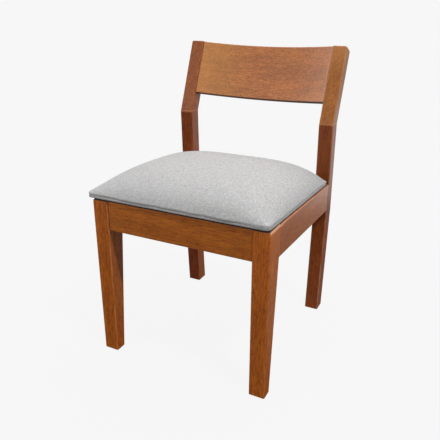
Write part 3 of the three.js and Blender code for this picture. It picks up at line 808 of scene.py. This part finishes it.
# The bend is where the front face of a post turns back: the height where its lower and upper lines meet
def bendOf(name):
    low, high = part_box(name)

    def frontLine(near, far):
        nearFront, farFront = (sliceSpans(name, upward, z, [depthways])[0][0] for z in (near, far))
        lean = (nearFront - farFront) / (near - far)
        return lean, farFront - lean * far

    upperLean, upperStart = frontLine(*(high.z - depth for depth in woodwork["upperSamples"]))
    lowerLean, lowerStart = frontLine(*(low.z + height for height in woodwork["lowerSamples"]))
    return (upperStart - lowerStart) / (lowerLean - upperLean), math.atan(upperLean)


def rakedWays(rake):
    return Vector((0, math.sin(rake), math.cos(rake))), Vector((0, math.cos(rake), -math.sin(rake)))


def addPosts():
    for side, frontCorner in (("left", 3), ("right", 0)):
        name = "rear_post_" + side
        low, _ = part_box(name)
        bendHeight, rake = bendOf(name)
        raked, backward = rakedWays(rake)
        railLow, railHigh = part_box("rear_rail")
        slices = [low.z + share * railLow.z for share in woodwork["legShares"]]
        slices += aboutChange(railLow.z) + aboutChange(railHigh.z) + [(railHigh.z + bendHeight) / 2]
        slices += [bendHeight + step * woodwork["bendSoftness"] for step in woodwork["bendSteps"]]

        def radii(distance):
            return cornerRadii(woodwork["postEdge"], frontCorner, railLow.z < distance < railHigh.z)

        lower = {"direction": upward, "sides": [across, depthways], "slices": slices, "radii": radii}
        front = sliceSpans(name, upward, bendHeight, [depthways])[0][0]
        start = Vector((0, front, bendHeight)).dot(raked)
        upper = {"direction": raked, "sides": [across, backward],
                 "slices": [start + height for height in woodwork["rakedSlices"]],
                 "radii": evenRadii(woodwork["postEdge"])}
        endEases = upperEases(name, woodwork["innerPostEnd"], woodwork["endEdge"])
        finish = stainedWood(name, "z", bendHeight=bendHeight, upright=raked)
        loftedPiece(name, [lower, upper], (woodwork["footEdge"],) * 4, endEases, finish)


def addRails():
    endEases = (woodwork["railEndEdge"],) * 4
    for name in ("front_rail", "rear_rail"):
        low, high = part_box(name)
        slices = [low.x + share * (high.x - low.x) for share in woodwork["railShares"]]
        run = {"direction": across, "sides": [depthways, seatNormal], "slices": slices,
               "radii": evenRadii(woodwork["railEdge"])}
        loftedPiece(name, [run], endEases, endEases, stainedWood(name, "x"))
    for side, outerCorner in (("left", 0), ("right", 1)):
        name = "side_rail_" + side
        low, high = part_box(name)
        edge, fade = woodwork["railEdge"], woodwork["outerEndFade"]
        more = woodwork["outerEnds"]["front_leg_" + side] - edge
        slices = [low.y + fade * share for share in woodwork["fadeShares"]]
        slices += [low.y + share * (high.y - low.y) for share in woodwork["railShares"]]

        def radii(distance):
            share = min(max((distance - low.y) / fade, 0), 1)
            top = edge + more * (1 - share * share * (3 - 2 * share))
            return tuple(top if corner == outerCorner else edge for corner in range(4))

        run = {"direction": depthways, "sides": [seatNormal, across], "slices": slices, "radii": radii}
        loftedPiece(name, [run], endEases, endEases, stainedWood(name, "y"))


def addBackrest():
    name = "backrest_panel"
    low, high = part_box(name)
    raked, backward = rakedWays(bendOf("rear_post_right")[1])
    inset, last = woodwork["sampleInset"], woodwork["panelSlices"] - 1
    slices = [low.x + inset + (high.x - low.x - 2 * inset) * i / last for i in range(last + 1)]

    def trim(distance):
        share = (2 * distance - low.x - high.x) / (high.x - low.x)
        return 0, 0, 0, woodwork["panelDip"] * (1 - share * share)

    run = {"direction": across, "sides": [backward, raked], "slices": slices, "trim": trim,
           "radii": evenRadii(woodwork["panelEdge"])}
    endEases = (woodwork["railEndEdge"],) * 4
    loftedPiece(name, [run], endEases, endEases, stainedWood(name, "x", upright=raked))


addLegs()
addPosts()
addRails()
addBackrest()
print("woodwork finished")


# Seat cushion: a crowned pad whose cloth rolls over its edge, tucks in at a crease and forms a lip above the
# frame. Heights are measured from the plane of the frame's top, and insets from the CAD cover's outline.
cushionLook = {
    "cellsAcross": 84,
    "cellsDeep": 76,
    "edgeDensity": 0.35,  # how much closer the cells stand near the edge
    "cornerRadius": 13 * mm,
    "leastRadius": 2 * mm,
    "cornerPull": 6,  # high values keep the corners' rounding near the edge
    "edgeHeight": 13.4 * mm,  # where the crown begins
    "edgeInset": 0.9 * mm,
    "crownPower": 3.1,  # high values keep the crown flat to near its edge
    "rightPower": 4.3,  # of the crown's right half
    "crownBlend": 0.68,  # low values make its edge steep
    "rightFall": 0.07,  # how much lower the crown stands to the right
    "startShare": 0.93,  # of the crown, before it is inflated
    "pressure": 4.0,
    "steps": 20,
    "mostMove": 16 * mm,
    "slack": 1.0 * mm,  # how far the inflated cloth may stand off the fitted crown
    # Shares of the edge's inset and of the height down to the crease, and looseness
    "wallRows": [(0.45, 0.84, 0.2), (0.2, 0.6, 0.5), (0.35, 0.34, 0.8)],
    "aboveCrease": (0.5, 0.13),  # shares of the crease's inset and of the wall's height
    "belowCrease": 0.75,  # share of the crease's inset
    "lipProfile": (0.2, 0.6),  # the lip's share of the crease's inset, and its looseness
    "tuckLoose": 0.3,
    "creaseInset": 2.9 * mm,
    "creaseHeight": 6.8 * mm,
    "lipTop": 4.6 * mm,
    "creaseChange": 1.7,  # how much the crease's depth varies along the edge
    "creaseChangeRate": 0.6,
    "leastCrease": 0.2,
    "shallowSides": (0.5, 6),  # how much shallower the crease is at the sides, and how suddenly
    "shallowCorners": (0.8, 8),
    "lowRear": (0.35, 8),  # how much lower the crown begins at the rear right corner, and how suddenly
    "foldRadius": 1.4 * mm,
    "foldSteps": 4,
    "waviness": 2.0 * mm,
    "waveLength": 34 * mm,
    "secondWave": (2.7, 0.5),  # its rate and its share of the first
    "swayShare": 0.6,  # of the waviness, in and out
    "flapWidth": 48 * mm,  # cloth turned under the board
    "flapThickness": 1.0 * mm,
    "boardGap": 0.15 * mm,
    "foldFlat": 3 * mm,  # from the fold to the first ring under the seat
    "rimStep": 2 * mm,  # between rings that keep an edge crisp
    "wallStep": 1 * mm,
}


def planeHeight(y):
    return (seatPlane - seatNormal.y * y) / seatNormal.z


# A place on the square from -1 to 1 is put on the rectangle, whose corners are drawn in to their radius
def outlinePlace(u, v, half, radius, pull):
    reach = max(abs(u), abs(v))
    if reach == 0:
        return Vector((0, 0))
    plain = Vector((u * half.x, v * half.y))
    edge = plain / reach
    overX, overY = abs(edge.x) - (half.x - radius), abs(edge.y) - (half.y - radius)
    if overX <= 0 or overY <= 0:
        return plain
    onFront = overX >= radius * 0.999999  # full, but for rounding
    angle = math.pi / 4 * (overY / radius if onFront else 2 - overX / radius)
    cornerX = half.x - radius + radius * math.cos(angle)
    cornerY = half.y - radius + radius * math.sin(angle)
    corner = Vector((math.copysign(cornerX, edge.x), math.copysign(cornerY, edge.y)))
    return plain + (corner - edge) * reach ** pull


def gridSquare(cellsAcross, cellsDeep, density):
    def spread(index, count):
        t = -1 + 2 * index / count
        return t * (1 + density * (1 - t * t))

    return [(spread(i, cellsAcross), spread(j, cellsDeep))
            for j in range(cellsDeep + 1) for i in range(cellsAcross + 1)]


def gridFaces(cellsAcross, cellsDeep, start, flipped):
    faces = []
    row = cellsAcross + 1
    for j in range(cellsDeep):
        for i in range(cellsAcross):
            a = start + j * row + i
            face = (a, a + 1, a + row + 1, a + row)
            faces.append(tuple(reversed(face)) if flipped else face)
    return faces


def gridRim(cellsAcross, cellsDeep, start):
    row = cellsAcross + 1
    near = [start + i for i in range(cellsAcross)]
    right = [start + j * row + cellsAcross for j in range(cellsDeep)]
    far = [start + cellsDeep * row + i for i in range(cellsAcross, 0, -1)]
    left = [start + j * row for j in range(cellsDeep, 0, -1)]
    return near + right + far + left


def crownRise(u, v, look):
    right = max(u, 0)
    power = look["rightPower"] if u > 0 else look["crownPower"]
    depthPower = look["crownPower"] + right * (power - look["crownPower"])
    fall = (1 - abs(u) ** power) * (1 - abs(v) ** depthPower)
    return max(fall, 0) ** look["crownBlend"] * (1 - look["rightFall"] * right)


# The share of the edge's height that is left towards the rear right corner
def rearShare(u, v, look):
    share, power = look["lowRear"]
    return 1 - share * (max(u, 0) * max(v, 0)) ** power


# The profile of the cloth from its crown down to the fold, as inset, height and looseness
def edgeProfile(look, bottom):
    fold, lip = look["foldRadius"], look["lipTop"]
    crease, deep = look["creaseHeight"], look["creaseInset"]
    wall = look["edgeHeight"] - crease
    rows = [(inset * look["edgeInset"], crease + height * wall, loose)
            for inset, height, loose in look["wallRows"]]
    aboveInset, aboveHeight = look["aboveCrease"]
    lipInset, lipLoose = look["lipProfile"]
    rows += [(aboveInset * deep, crease + aboveHeight * wall, 1.0), (deep, crease, 1.0),
             (look["belowCrease"] * deep, (crease + lip) / 2, 1.0), (lipInset * deep, lip, lipLoose),
             (0, (bottom + fold + lip) / 2, look["tuckLoose"])]
    for step in range(look["foldSteps"]):
        angle = step / (look["foldSteps"] - 1) * math.pi / 2
        rows.append((fold * (1 - math.cos(angle)), bottom + fold * (1 - math.sin(angle)), 0.0))
    return rows


# The cloth turned under the board, and the hollow that the board sits in
def underProfile(look, bottom, boardInset, boardLow, boardHigh):
    flap, gap, thick = look["flapWidth"], look["boardGap"], look["flapThickness"]
    wall, rim, step = boardInset - gap, look["rimStep"], look["wallStep"]
    return [(look["foldRadius"] + look["foldFlat"], bottom), (flap - rim, bottom), (flap, bottom),
            (flap, bottom + thick), (flap - rim, bottom + thick), (wall + rim, boardLow - gap),
            (wall, boardLow - gap), (wall, boardLow + step), (wall, boardHigh - step),
            (wall, boardHigh + gap), (wall + rim, boardHigh + gap)]


def levelsOf(node):
    low, high = reachOf(node, seatNormal)
    return (low - seatPlane) / seatNormal.z, (high - seatPlane) / seatNormal.z


# How deep the crease is at a place of the edge, as a share
def creaseDepth(u, v, spot, look):
    sides, sidePower = look["shallowSides"]
    corners, cornerPower = look["shallowCorners"]
    uneven = 1 + look["creaseChange"] * noise.noise(spot * look["creaseChangeRate"])
    return (max(look["leastCrease"], uneven) * (1 - sides * abs(u) ** sidePower)
            * (1 - corners * abs(u * v) ** cornerPower))


def buildCushion(look):
    low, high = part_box("seat_cover")
    centre = Vector(((low.x + high.x) / 2, (low.y + high.y) / 2))
    half = Vector(((high.x - low.x) / 2, (high.y - low.y) / 2))
    bottom, top = levelsOf("seat_cover")
    boardLow, boardHigh = levelsOf("seat_board")
    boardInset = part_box("seat_board")[0].x - low.x
    cells = look["cellsAcross"], look["cellsDeep"]
    square = gridSquare(*cells, look["edgeDensity"])

    def at(u, v, inset, height):
        inner = Vector((half.x - inset, half.y - inset))
        radius = max(look["cornerRadius"] - inset, look["leastRadius"])
        spot = centre + outlinePlace(u, v, inner, radius, look["cornerPull"])
        return Vector((spot.x, spot.y, planeHeight(spot.y) + height))

    def crownPoint(u, v, share):
        rise = (top - look["edgeHeight"]) * crownRise(u, v, look) * share
        return at(u, v, look["edgeInset"], look["edgeHeight"] * rearShare(u, v, look) + rise)

    fitted = [crownPoint(u, v, 1) for u, v in square]
    points = [crownPoint(u, v, look["startShare"]) for u, v in square]
    faces = gridFaces(*cells, 0, False)
    rim = gridRim(*cells, 0)
    previous = rim

    def addRing(ring):
        nonlocal previous
        first, count = len(points), len(ring)
        points.extend(ring)
        for i in range(count):
            j = (i + 1) % count
            faces.append((previous[i], first + i, first + j, previous[j]))
        previous = list(range(first, first + count))

    waveRate, waveShare = look["secondWave"]
    for inset, height, loose in edgeProfile(look, bottom):
        ring = []
        isCrease = inset > look["edgeInset"] and loose > 0.5
        for u, v in (square[i] for i in rim):
            spot = at(u, v, 0, 0) / look["waveLength"]
            wave = noise.noise(spot) + waveShare * noise.noise(spot * waveRate)
            swing = look["waviness"] * loose * wave
            depth = inset * creaseDepth(u, v, spot, look) if isCrease else inset
            drop = max(height - look["creaseHeight"], 0) * (1 - rearShare(u, v, look))
            ring.append(at(u, v, depth + look["swayShare"] * swing, height + swing - drop))
        addRing(ring)
    under = underProfile(look, bottom, boardInset, boardLow, boardHigh)
    for inset, height in under:
        addRing([at(*square[i], inset, height) for i in rim])
    inset, height = under[-1]
    onRim = set(rim)
    inner = [i for i in range(len(square)) if i not in onRim]
    renumber = {old: len(points) + place for place, old in enumerate(inner)}
    renumber.update(zip(rim, previous))
    points.extend(at(*square[i], inset, height) for i in inner)
    faces.extend(tuple(renumber[i] for i in face) for face in gridFaces(*cells, 0, True))
    return points, faces, fitted, onRim


# Where Blender's cloth takes a piece under pressure from inside, with the held points left in place
def inflate(piece, held, look):
    scene = bpy.context.scene
    group = piece.vertex_groups.new(name="held")
    group.add(sorted(held), 1.0, "REPLACE")
    cloth = piece.modifiers.new("inflate", "CLOTH")
    cloth.settings.vertex_group_mass = "held"
    cloth.settings.use_pressure = True
    cloth.settings.uniform_pressure_force = look["pressure"]
    cloth.settings.effector_weights.gravity = 0
    cloth.point_cache.frame_start = 1
    cloth.point_cache.frame_end = look["steps"]
    for step in range(1, look["steps"] + 1):
        scene.frame_set(step)
    settled = piece.evaluated_get(bpy.context.evaluated_depsgraph_get()).to_mesh()
    places = [vertex.co.copy() for vertex in settled.vertices]
    piece.modifiers.remove(cloth)
    piece.vertex_groups.remove(group)
    scene.frame_set(1)
    return places


def limited(move, most):
    return move * (most / move.length) if move.length > most else move


def addCushion(look):
    points, faces, fitted, rim = buildCushion(look)
    piece = addPiece("seat_cushion", points, faces, seatCloth("seatCloth"))
    settled = points
    held = set(range(len(fitted), len(points))) | rim
    settled = inflate(piece, held, look)
    moves = []
    for index in range(len(fitted)):
        moved = points[index] + limited(settled[index] - points[index], look["mostMove"])
        offset = limited(moved - fitted[index], look["slack"])
        moves.append(offset.length)
        if index not in rim:
            piece.data.vertices[index].co = fitted[index] + offset
    print("cushion stands off its crown by up to", round(max(moves) / mm, 2), "mm")
    smooth = piece.modifiers.new("softness", "SUBSURF")
    smooth.levels = smooth.render_levels = 1
    fixFacing(piece)
    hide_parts("seat_cover", "seat_foam")
    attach(piece, "root")


# Light grey cloth, woven from threads of mixed greys
clothLook = {
    "threads": 760.0,  # in a metre
    "slubAlong": 110.0,
    "slubAcross": 520.0,
    "heather": 620.0,
    "mixShares": (0.32, 0.22, 0.46),  # of the warp's slubs, the weft's slubs and the heather
    "mixRange": (0.32, 0.68),
    "dark": (170, 168, 167),
    "middle": (200, 199, 199),
    "light": (230, 229, 229),
    "gapShade": (150, 150, 150),  # between the threads
    "gapRange": (-1, 0.2),
    "gapShare": 0.16,
    "lipShade": (196, 193, 191),  # of the lip and its underside
    "lipShadeLow": 3.0 * mm,
    "lipShadeHigh": 6.2 * mm,
    "lipShadeShare": 0.85,
    "roughness": 0.92,
    "sheen": 0.12,
    "sheenRoughness": 0.6,
    "gloss": 0.25,
    "threadRelief": 0.5,
    "slubRelief": 1.2,
    "reliefDepth": 0.35 * mm,
    "reliefStrength": 0.6,
}


def seatCloth(name, look=clothLook):
    finish = Finish(name)
    place = finish.place()
    x, y, z = finish.axes(place)
    low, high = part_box("seat_cover")

    # Threads keep their width over the crown's slopes, because the fall counts as length
    def threads(value, middle):
        way = finish.math("SUBTRACT", finish.math("ABSOLUTE", finish.math("SUBTRACT", value, middle)), z)
        return finish.math("SINE", finish.times(way, math.pi * look["threads"]))

    over = finish.times(threads(x, (low.x + high.x) / 2), threads(y, (low.y + high.y) / 2))
    long, wide = look["slubAlong"], look["slubAcross"]
    slubWarp = finish.noise(finish.stretched(place, (wide, long, wide)), detail=2, rough=0.55)
    slubWeft = finish.noise(finish.stretched(place, (long, wide, wide)), detail=2, rough=0.55)
    heather = finish.noise(place, scale=look["heather"], detail=3, rough=0.65)
    warpShare, weftShare, heatherShare = look["mixShares"]
    mixed = finish.math("ADD", finish.times(slubWarp, warpShare), finish.times(slubWeft, weftShare))
    mixed = finish.math("ADD", mixed, finish.times(heather, heatherShare))
    colour = finish.ramp(finish.span(mixed, *look["mixRange"]),
                         [(0, look["dark"]), (1, look["light"]), (0.5, look["middle"])])
    colour = finish.blend("MULTIPLY", finish.span(over, *look["gapRange"], look["gapShare"], 0), colour,
                          look["gapShade"])
    lipLow, lipHigh = seatPlane + look["lipShadeLow"], seatPlane + look["lipShadeHigh"]
    shade = finish.span(finish.level(place, seatNormal), lipLow, lipHigh, look["lipShadeShare"], 0)
    colour = finish.blend("MULTIPLY", shade, colour, look["lipShade"])
    relief = finish.math("ADD", finish.times(over, look["threadRelief"]),
                         finish.times(mixed, look["slubRelief"]))
    normal = finish.bump(relief, look["reliefDepth"], look["reliefStrength"])
    finish.set(Base_Color=colour, Roughness=look["roughness"], Normal=normal, Sheen_Weight=look["sheen"],
               Sheen_Roughness=look["sheenRoughness"], Specular_IOR_Level=look["gloss"])
    return finish.material


addCushion(cushionLook)
print("cushion finished")


# Thin black cloth under the seat board, stapled round its edge. It hangs a little in the middle.
liningLook = {
    "cells": 24,
    "thickness": 0.4 * mm,
    "sag": 2.2 * mm,
    "sagPower": 1.5,
    "colour": (38, 37, 38),
    "threadColour": (58, 57, 58),
    "threads": 900.0,  # in a metre
    "fuzz": 420.0,
    "fuzzStops": (0.3, 0.7),
    "roughness": 0.9,
    "sheen": 0.1,
    "gloss": 0.2,
    "reliefDepth": 0.2 * mm,
    "reliefStrength": 0.5,
}


def liningCloth(name, look=liningLook):
    finish = Finish(name)
    place = finish.place()
    weave = finish.add("ShaderNodeTexVoronoi")
    finish.feed(weave.inputs["Vector"], place)
    weave.inputs["Scale"].default_value = look["threads"]
    fuzz = finish.noise(place, scale=look["fuzz"], detail=3)
    colour = finish.ramp(fuzz, zip(look["fuzzStops"], (look["colour"], look["threadColour"])))
    normal = finish.bump(weave.outputs["Distance"], look["reliefDepth"], look["reliefStrength"])
    finish.set(Base_Color=colour, Roughness=look["roughness"], Normal=normal, Sheen_Weight=look["sheen"],
               Specular_IOR_Level=look["gloss"])
    return finish.material


def addLining(look):
    low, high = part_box("seat_lining")
    level = levelsOf("seat_lining")[0]
    cells = look["cells"]
    points = []
    for top in (0, 1):
        for u, v in gridSquare(cells, cells, 0):
            x = (low.x + high.x) / 2 + u * (high.x - low.x) / 2
            y = (low.y + high.y) / 2 + v * (high.y - low.y) / 2
            sag = look["sag"] * ((1 - u * u) * (1 - v * v)) ** look["sagPower"]
            points.append((x, y, planeHeight(y) + level + top * look["thickness"] - sag))
    start = len(points) // 2
    faces = gridFaces(cells, cells, 0, True) + gridFaces(cells, cells, start, False)
    lower, upper = gridRim(cells, cells, 0), gridRim(cells, cells, start)
    for i in range(len(lower)):
        j = (i + 1) % len(lower)
        faces.append((lower[i], lower[j], upper[j], upper[i]))
    piece = addPiece("seat_lining_cloth", points, faces, liningCloth("liningCloth"))
    fixFacing(piece)
    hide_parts("seat_lining")
    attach(piece, "root")


addLining(liningLook)
print("lining finished")


# Screws with domed heads and a crossed slot, and the staples
fastenerLook = {
    "headWidth": 0.9,  # of the head's radius: wider points belong to the head
    "shankStart": 1.5,  # in head heights
    "headRings": 12,
    "domeShare": 0.62,  # of the head's height, from its middle to its rim
    "domePower": 2.4,
    "rimShare": 0.86,  # of the head's height, down to its rim
    "underShare": 0.96,  # of the head's radius, on its underside
    "slotArm": 2.3 * mm,  # from the middle to the end of an arm
    "slotWidth": 0.42 * mm,  # half of an arm's width
    "slotDepth": 1.5 * mm,
    "slotMiddle": 1.45,  # radius of the innermost ring, in slot widths
    "slotWall": 0.7,  # of an arm's half angle, where its wall begins
    "slotMost": 0.7,  # sine of an arm's widest half angle
    "slotSteps": 4,  # from one arm to the next
    "screwSharp": 40,  # degrees
    "tipTaper": 2.2,  # in shank radii
    "tipLength": 0.4 * mm,
    "tipShare": 0.2,  # of the shank's radius
    "threadPitch": 1.9 * mm,
    "threadSteps": 6,  # in a pitch
    "threadDepth": 0.5 * mm,
    "wireSides": 10,
    "wireBend": 1.2,  # in wire widths
    "wireSteps": 4,
    "wireSharp": 50,  # degrees
    "steel": (150, 146, 138),
    "steelDark": (104, 99, 90),
    "smudges": 240.0,
    "smudgeStops": (0.34, 0.62),
    "smudgeRange": (0.3, 0.7),
    "scratches": (900.0, 900.0, 4200.0),
    "metallic": 0.9,
    "roughness": (0.28, 0.5),
    "reliefDepth": 0.03 * mm,
    "reliefStrength": 0.4,
}


def fastenerSteel(name, look=fastenerLook):
    finish = Finish(name)
    place = finish.place()
    smudge = finish.noise(place, scale=look["smudges"], detail=4, rough=0.6)
    scratch = finish.noise(finish.stretched(place, look["scratches"]), detail=2)
    colour = finish.ramp(smudge, zip(look["smudgeStops"], (look["steelDark"], look["steel"])))
    normal = finish.bump(scratch, look["reliefDepth"], look["reliefStrength"])
    finish.set(Base_Color=colour, Metallic=look["metallic"], Normal=normal,
               Roughness=finish.span(smudge, *look["smudgeRange"], *look["roughness"]))
    return finish.material


# The sizes of a CAD screw, read along its axis from the top of its head
def screwSizes(name, look):
    points = [vertex.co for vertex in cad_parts[name].data.vertices]
    middle = sum(points, Vector()) / len(points)
    tip = max(points, key=lambda p: (p - middle).length)
    pole = max(points, key=lambda p: (p - tip).length)
    axis = (tip - pole).normalized()
    rounds = [((p - pole).dot(axis), (p - pole - axis * (p - pole).dot(axis)).length) for p in points]
    headRadius = max(radius for _, radius in rounds)
    headHeight = max(along for along, radius in rounds if radius > look["headWidth"] * headRadius)
    shankRadius = max(radius for along, radius in rounds if along > look["shankStart"] * headHeight)
    return pole, axis, (tip - pole).length, headRadius, headHeight, shankRadius


# Angles round a ring of the head: the middle and the sides of each arm of the slot, and places between them
def slotAngles(radius, look):
    outer = math.asin(min(look["slotWidth"] / radius, look["slotMost"]))
    inner = look["slotWall"] * outer
    between = (math.pi / 2 - 2 * outer) / look["slotSteps"]
    one = [(-outer, False), (-inner, True), (0, True), (inner, True), (outer, False)]
    one += [(outer + between * i, False) for i in range(1, look["slotSteps"])]
    return [(turn * math.pi / 2 + angle, inArm) for turn in range(4) for angle, inArm in one]


def addScrew(name, look, material):
    pole, axis, length, headRadius, headHeight, shankRadius = screwSizes(name, look)
    side = axis.orthogonal().normalized()
    other = axis.cross(side)

    def at(along, radius, angle):
        return pole + axis * along + (side * math.cos(angle) + other * math.sin(angle)) * radius

    def dome(radius):
        return look["domeShare"] * headHeight * (radius / headRadius) ** look["domePower"]

    centre = look["slotWidth"] * look["slotMiddle"]
    rings = []
    for i in range(look["headRings"] + 1):
        radius = centre + (headRadius - centre) * i / look["headRings"]
        slotted = radius < look["slotArm"]
        rings.append([at(look["slotDepth"] if slotted and inArm else dome(radius), radius, angle)
                      for angle, inArm in slotAngles(radius, look)])
    even = [angle for angle, _ in slotAngles(headRadius, look)]
    rim = look["rimShare"] * headHeight, headRadius
    underside = headHeight, look["underShare"] * headRadius
    for along, radius in (rim, underside, (headHeight, shankRadius)):
        rings.append([at(along, radius, angle) for angle in even])
    threaded = length - look["tipTaper"] * shankRadius - headHeight
    steps = int(threaded / look["threadPitch"] * look["threadSteps"])
    for i in range(1, steps + 1):
        along = headHeight + threaded * i / steps
        turned = along / look["threadPitch"] * math.tau
        depths = [look["threadDepth"] * (0.5 - 0.5 * math.cos(angle - turned)) for angle in even]
        rings.append([at(along, shankRadius - depth, angle) for depth, angle in zip(depths, even)])
    rings.append([at(length - look["tipLength"], look["tipShare"] * shankRadius, angle) for angle in even])
    piece = addPiece(name + "_steel", [p for ring in rings for p in ring], joinLoops(rings), material)
    fixFacing(piece)
    piece.data.set_sharp_from_angle(angle=math.radians(look["screwSharp"]))
    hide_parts(name)
    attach(piece, "root")


def addStaple(name, look, material):
    low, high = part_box(name)
    sizes = high - low
    middle = (low + high) / 2
    alongX = sizes.x > sizes.y
    way = across if alongX else Vector((0, 1, -seatFall))
    wire = min(sizes.x, sizes.y)
    reach = (max(sizes.x, sizes.y) - wire) / 2
    bottom = planeHeight(middle.y) - wire / 2
    centre = Vector((middle.x, middle.y, bottom))
    legTop = high.z - bottom - reach * (0 if alongX else seatFall)
    bend, steps = look["wireBend"] * wire, look["wireSteps"]
    angles = [step / steps * math.pi / 2 for step in range(1, steps)]
    corner = [(reach - bend * (1 - math.cos(angle)), bend * (1 - math.sin(angle))) for angle in angles]
    half = [(reach, legTop), (reach, bend), *corner, (reach - bend, 0)]
    path = [centre - way * out + upward * rise for out, rise in half]
    path += [centre + way * out + upward * rise for out, rise in reversed(half)]
    flat = way.cross(upward).normalized()
    turns = [turn / look["wireSides"] * math.tau for turn in range(look["wireSides"])]
    rings = []
    for i, point in enumerate(path):
        before, after = path[max(i - 1, 0)], path[min(i + 1, len(path) - 1)]
        outward = (after - before).normalized().cross(flat)
        rings.append([point + (flat * math.cos(t) + outward * math.sin(t)) * wire / 2 for t in turns])
    piece = addPiece(name + "_wire", [p for ring in rings for p in ring], joinLoops(rings), material)
    fixFacing(piece)
    piece.data.set_sharp_from_angle(angle=math.radians(look["wireSharp"]))
    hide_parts(name)
    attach(piece, "root")


def addFasteners(look):
    steel = fastenerSteel("fastenerSteel")
    for name in sorted(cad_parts):
        if "_screw_" in name:
            addScrew(name, look, steel)
        elif name.startswith("seat_staple_"):
            addStaple(name, look, steel)


addFasteners(fastenerLook)
print("fasteners finished")


# Unfinished wood: the dowels, the corner blocks and the plywood board
rawLook = {
    "ring": (2.6, 60.0),  # in a metre, along and across the grain
    "grain": (9.0, 190.0),
    "seedSteps": (0.71, 1.93, 1.17),
    "beech": ((196, 150, 104), (214, 172, 126), (226, 190, 146)),
    "blockWood": ((188, 146, 96), (208, 168, 116), (222, 186, 136)),
    "plywood": ((186, 146, 100), (206, 168, 120), (220, 188, 142)),
    "ringRange": (0.3, 0.7),
    "ringDistortion": 0.8,
    "grainRange": (0.45, 0.75),
    "plyRange": (-0.3, 0.5),
    "grainColour": (190, 168, 140),
    "grainShare": 0.5,
    "plies": 640.0,  # in a metre
    "plyColour": (168, 132, 96),
    "plyShare": 0.45,
    "roughness": 0.72,
    "gloss": 0.3,
    "reliefDepth": 0.12 * mm,
    "reliefStrength": 0.5,
    "blockEdge": 0.9 * mm,
    "blockEdgeSteps": 3,
    "blockSharp": 35,  # degrees
    "softenedLength": 8,  # in block edges: shorter ones stay sharp
    "softenedAngle": 0.6,  # radians between faces
}


def rawWood(name, axis, tones, seed, plies=None, look=rawLook):
    finish = Finish(name)
    place = finish.place()
    shift = tuple(seed * step for step in look["seedSteps"])
    rings = finish.stretched(place, grainScale(axis, *look["ring"]), shift)
    ring = finish.noise(rings, detail=3, distortion=look["ringDistortion"])
    grain = finish.stretched(place, grainScale(axis, *look["grain"]), shift)
    grain = finish.noise(grain, detail=4, rough=0.6)
    dark, middle, light = tones
    colour = finish.ramp(finish.span(ring, *look["ringRange"]), [(0, dark), (1, light), (0.5, middle)])
    shows = finish.span(grain, *look["grainRange"], 0, look["grainShare"])
    colour = finish.blend("MULTIPLY", shows, colour, look["grainColour"])
    if plies:
        _, y, z = finish.axes(place)
        level = finish.math("ADD", finish.times(y, seatFall), z)
        band = finish.math("SINE", finish.times(level, plies * math.pi))
        shows = finish.span(band, *look["plyRange"], 0, look["plyShare"])
        colour = finish.blend("MULTIPLY", shows, colour, look["plyColour"])
    normal = finish.bump(grain, look["reliefDepth"], look["reliefStrength"])
    finish.set(Base_Color=colour, Roughness=look["roughness"], Normal=normal,
               Specular_IOR_Level=look["gloss"])
    return finish.material


def finishNode(name, material):
    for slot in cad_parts[name].material_slots:
        slot.material = material


# A corner block with its long edges softened
def addBlock(name, material, look):
    edge = look["blockEdge"]
    block = bmesh.new()
    block.from_mesh(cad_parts[name].data)
    bmesh.ops.remove_doubles(block, verts=block.verts, dist=0.002 * mm)
    bmesh.ops.dissolve_limit(block, angle_limit=math.radians(1), verts=block.verts, edges=block.edges)
    softened = [e for e in block.edges if e.calc_length() > look["softenedLength"] * edge
                and e.is_manifold and e.calc_face_angle(0) > look["softenedAngle"]]
    bmesh.ops.bevel(block, geom=softened, offset=edge, segments=look["blockEdgeSteps"], profile=0.5,
                    affect="EDGES", clamp_overlap=True)
    mesh = bpy.data.meshes.new(name + "_softened")
    block.to_mesh(mesh)
    block.free()
    mesh.materials.clear()
    mesh.materials.append(material)
    mesh.polygons.foreach_set("use_smooth", [True] * len(mesh.polygons))
    mesh.set_sharp_from_angle(angle=math.radians(look["blockSharp"]))
    piece = addObject(name + "_softened", mesh)
    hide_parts(name)
    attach(piece, "root")


def addUnfinishedWood(look):
    lengthwise = {axis: rawWood("beech_" + axis, axis, look["beech"], 5) for axis in "xyz"}
    for name in sorted(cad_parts):
        if "_dowel_" in name:
            low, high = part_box(name)
            sizes = high - low
            axis = "xyz"[max(range(3), key=lambda i: sizes[i])]
            finishNode(name, lengthwise[axis])
        elif name.startswith("corner_block_"):
            addBlock(name, rawWood(name + "_wood", "x", look["blockWood"], len(name)), look)
    finishNode("seat_board", rawWood("plywood", "x", look["plywood"], 9, plies=look["plies"]))


addUnfinishedWood(rawLook)
print("unfinished wood finished")
